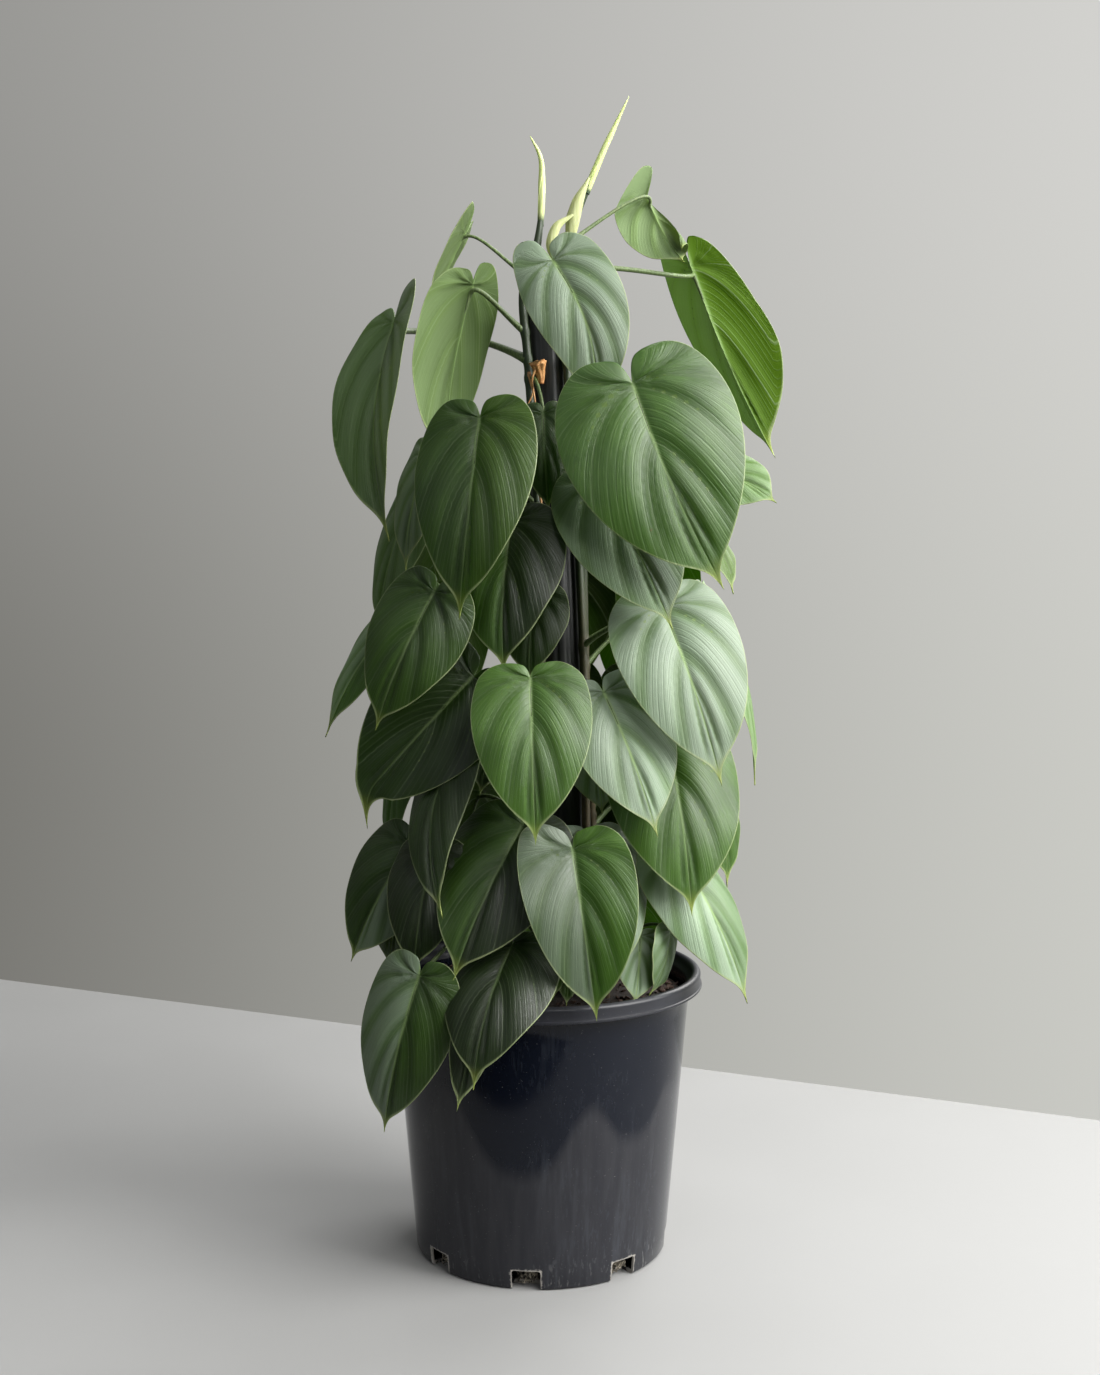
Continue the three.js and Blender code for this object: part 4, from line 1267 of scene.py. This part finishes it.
def makePotLook():
    look = potLook
    material, m = newMaterial("potPlastic", Specular_IOR_Level=look["shine"])
    where = m.place()
    height = m.split(where)[2]
    scuff = m.group(makeNotchScuff(), {0: where})[0]
    above = height - m.group(makePaintedReflectionEdge(), {0: where})[0]
    flow, drops, film = m.noises(look, "flow", "drops", "film")
    specks, wall, grain = m.noises(look, "specks", "wall", "grain")
    runs = m.spread(flow, 0.5, 0.72) * m.spread(film, 0.4, 0.65)
    droplets = m.spread(drops, 0.56, 0.66) * m.spread(film, 0.35, 0.7)
    water = m.maths("MAXIMUM", runs * 0.7, droplets * 0.55)
    specks = m.spread(specks, 0.72, 0.76)
    rim = m.spread(height, *look["rimFrom"])
    # painted reflection of the floor: lighter below a wavy edge; the rim is rougher, and lighter partly as wear and
    # partly as painted reflection
    paintedFloorReflection = m.spread(above, -0.012, 0.006, 1, 0) * m.spread(flow, 0.3, 0.7, 0.7, 1)
    tint = m.paint(
        look["plastic"],
        (m.maths("MAXIMUM", paintedFloorReflection, rim * 0.75), look["worn"]),
        (water * 0.55, look["water"]),
        (specks * 0.6, look["dust"]),
        (m.spread(height, 0.0, 0.03, 1, 0) * (droplets * 0.6), look["dust"]),
        (scuff * 0.85, look["scuff"]),
    )
    rough = look["roughness"] + water * 0.16 + scuff * 0.45 + specks * 0.4
    rough = rough + m.even(film, 0.3, 0.7, -0.02, 0.03) + rim * 0.22
    m.finish(tint, rough, wall * 0.5 + grain * 0.035 + droplets * 0.05, 0.5, 0.35)
    return material


makePot()
print("pot made")


# Potting mix: a plug of bark, with loose chips on top and root ends at the notches
mixForm = {
    "outline": [
        (0, 3.3), (79, 3.3), (79.6, 9), (80.5, 18.3), (95.4, 20.3), (111.9, 195), (109.8, 198), (62, 199.4),
        (0, 200.4),
    ],
    "sides": 200,
    "grain": 1.6,
    "chips": 900,
    "chipSize": (3.0, 9.5),
    "chipRise": (-0.6, 2.2),
    "reach": 108,
    "wallRadius": 112,
    "notchChips": 7,  # in each drain notch
    "notchChipSize": (4, 8),
    "rootlets": 34,
    "chipPlaces": (76, 86, 8.5, 5, 12.5),  # nearest, farthest, to each side, lowest, highest
    "rootMiddles": (83, 91, 6.5, 3.5, 11.5),
    "rootEnds": (80, 84, 7, 4, 12),
    "rootBends": (1.2, 4.2),
    "rootLowest": 1.4,
    "rootGirth": (0.28, 0.62),
}
mixLook = {
    # These colours are darker than the bark's own: they also paint the shade that falls in the pot under the leaves
    "dark": (0.006, 0.004, 0.003),
    "bark": (0.022, 0.011, 0.006),
    "redBark": (0.050, 0.021, 0.011),
    "fibre": (0.22, 0.15, 0.09),
    "rootlet": (0.46, 0.41, 0.32),
    "grain": (260, 5, 0.65),
    "strands": (800, 3, 0.6, (1, 0.3, 0.3)),
}


def lumps(points, rng, waves=9, low=0.12, high=0.9):
    total = np.zeros(len(points))
    for _ in range(waves):
        ahead = unit(np.array([rng.gauss(0, 1) for _ in range(3)])) * rng.uniform(low, high)
        total += np.sin(points @ ahead + rng.uniform(0, 6.28))
    return total / waves


def barkChip(rng, middle, size):
    across = unit(np.array([rng.gauss(0, 1), rng.gauss(0, 1), rng.gauss(0, 0.35)]))
    other = unit(np.cross(across, np.array([rng.gauss(0, 0.3), rng.gauss(0, 0.3), 1])))
    tall = np.cross(across, other)
    count = rng.choice((5, 6, 7))
    long, wide, thick = size, size * rng.uniform(0.45, 0.8), size * rng.uniform(0.18, 0.34)
    points = []
    for level, shrink in ((-1, 0.78), (0, 1.0), (1, 0.8)):
        for k in range(count):
            a = 2 * math.pi * (k + rng.uniform(-0.22, 0.22)) / count
            r = shrink * rng.uniform(0.78, 1.05) / 2
            lift = level * thick / 2 * rng.uniform(0.75, 1.1)
            points.append(middle + across * long * r * math.cos(a) + other * wide * r * math.sin(a) + tall * lift)
    return points, ringFaces(3, count)


def makeMixLook(name, main, other, fibres=True):
    material, m = newMaterial(name)
    grain, strands = m.noises(mixLook, "grain", "strands")
    coats = [(m.spread(grain, 0.35, 0.7), main), (m.attribute("chipTone") * 0.8, other)]
    if fibres:
        coats.append((m.spread(strands, 0.64, 0.74, 0, 0.5), mixLook["fibre"]))
    m.finish(m.paint(mixLook["dark"], *coats), m.even(grain, 0.3, 0.7, 0.78, 0.97), grain + strands, 0.9, 0.8)
    return material


def makePottingMix():
    f = mixForm
    rng = random.Random(41)
    plug = lathe(f["outline"], f["sides"], steps=3)
    points = plug["points"]
    radial = points * (1, 1, 0)
    topness = smoothstep(196, 198.5, points[:, 2]) * (1 - smoothstep(100, 110, np.linalg.norm(radial, axis=1)))
    wave = lumps(points, rng) * f["grain"]
    points += up * (wave * topness)[:, None]
    inside = (1 - topness) * smoothstep(3.4, 6, points[:, 2])
    points -= unit(radial) * (np.abs(wave) * inside)[:, None]
    shells = [plug]
    for _ in range(f["chips"]):
        away, turn = f["reach"] * math.sqrt(rng.random()), rng.uniform(0, 2 * math.pi)
        middle = np.array([away * math.cos(turn), away * math.sin(turn), soilTop + rng.uniform(*f["chipRise"])])
        size = min(rng.uniform(*f["chipSize"]), 2 * (f["wallRadius"] - away) + 2.5)
        chip, faces = barkChip(rng, middle, size)
        shells.append(shell(chip, faces, 1, chipTone=rng.random()))
    for k in range(potForm["notches"]):  # roots and bark show in each notch
        azimuth = potForm["firstNotch"] + 360 / potForm["notches"] * k
        out, aside = heading(azimuth), heading(azimuth + 90)

        def inNotch(nearest, farthest, side, low, high):
            level = out * rng.uniform(nearest, farthest) + aside * rng.uniform(-side, side)
            return level + up * rng.uniform(low, high)

        for _ in range(f["notchChips"]):
            chip, faces = barkChip(rng, inNotch(*f["chipPlaces"]), rng.uniform(*f["notchChipSize"]))
            shells.append(shell(chip, faces, 1, chipTone=rng.random() * 0.5))
        for _ in range(f["rootlets"]):
            middle = inNotch(*f["rootMiddles"])
            points = [inNotch(*f["rootEnds"])]
            points += [middle + unit(inNotch(-1, 1, 1, -1, 1)) * rng.uniform(*f["rootBends"]) for _ in range(5)]
            points = [np.array([*q[:2], max(q[2], f["rootLowest"])]) for q in points]
            girth = rng.uniform(*f["rootGirth"])
            shells.append(tube(smoothPath(points, 20), np.linspace(girth, girth * 0.5, 20), 6, look=2))
    looks = [
        makeMixLook("pottingMix", mixLook["bark"], mixLook["bark"]),
        makeMixLook("barkChip", mixLook["bark"], mixLook["redBark"]),
        makeMixLook("rootlet", mixLook["rootlet"], mixLook["rootlet"], fibres=False),
    ]
    makePiece("pottingMix", shells, looks, ["potting_mix"], sharp=48)


makePottingMix()
print("potting mix made")


# Table top: its back edge runs a little askew, and its front edge is just below the picture
tableTop = {
    "turn": -23.8,  # degrees from the picture's width
    "back": 472,  # from the pot's middle to the back edge
    "front": 368,
    "side": 1500,
    "thick": 38,
    "round": 5,
    "tints": ((0.214, 0.215, 0.214), (0.221, 0.222, 0.221)),
    "roughness": (0.62, 0.72),
}


def makeFloor():
    top = tableTop
    shape = bmesh.new()
    bmesh.ops.create_cube(shape, size=1)
    for corner in shape.verts:
        x, y, z = corner.co
        corner.co = (2 * x * top["side"], top["back"] if y > 0 else -top["front"], top["thick"] * (z - 0.5))
    bmesh.ops.bevel(shape, geom=shape.edges[:], offset=top["round"], segments=4, profile=0.5, affect="EDGES")
    bmesh.ops.scale(shape, vec=(mm, mm, mm), verts=shape.verts)
    bmesh.ops.rotate(shape, matrix=Matrix.Rotation(math.radians(top["turn"]), 3, "Z"), verts=shape.verts)
    mesh = bpy.data.meshes.new("studioFloor")
    shape.to_mesh(mesh)
    shape.free()
    material, m = newMaterial("studioFloor")
    clouds = m.noise(m.place(), 6, 3, 0.5)
    m.drive("Base Color", m.blend(m.spread(clouds, 0.35, 0.7), *top["tints"]))
    m.drive("Roughness", m.even(clouds, 0.3, 0.7, *top["roughness"]))
    mesh.materials.append(material)
    newObject("studioFloor", mesh)


makeFloor()
print("floor made")
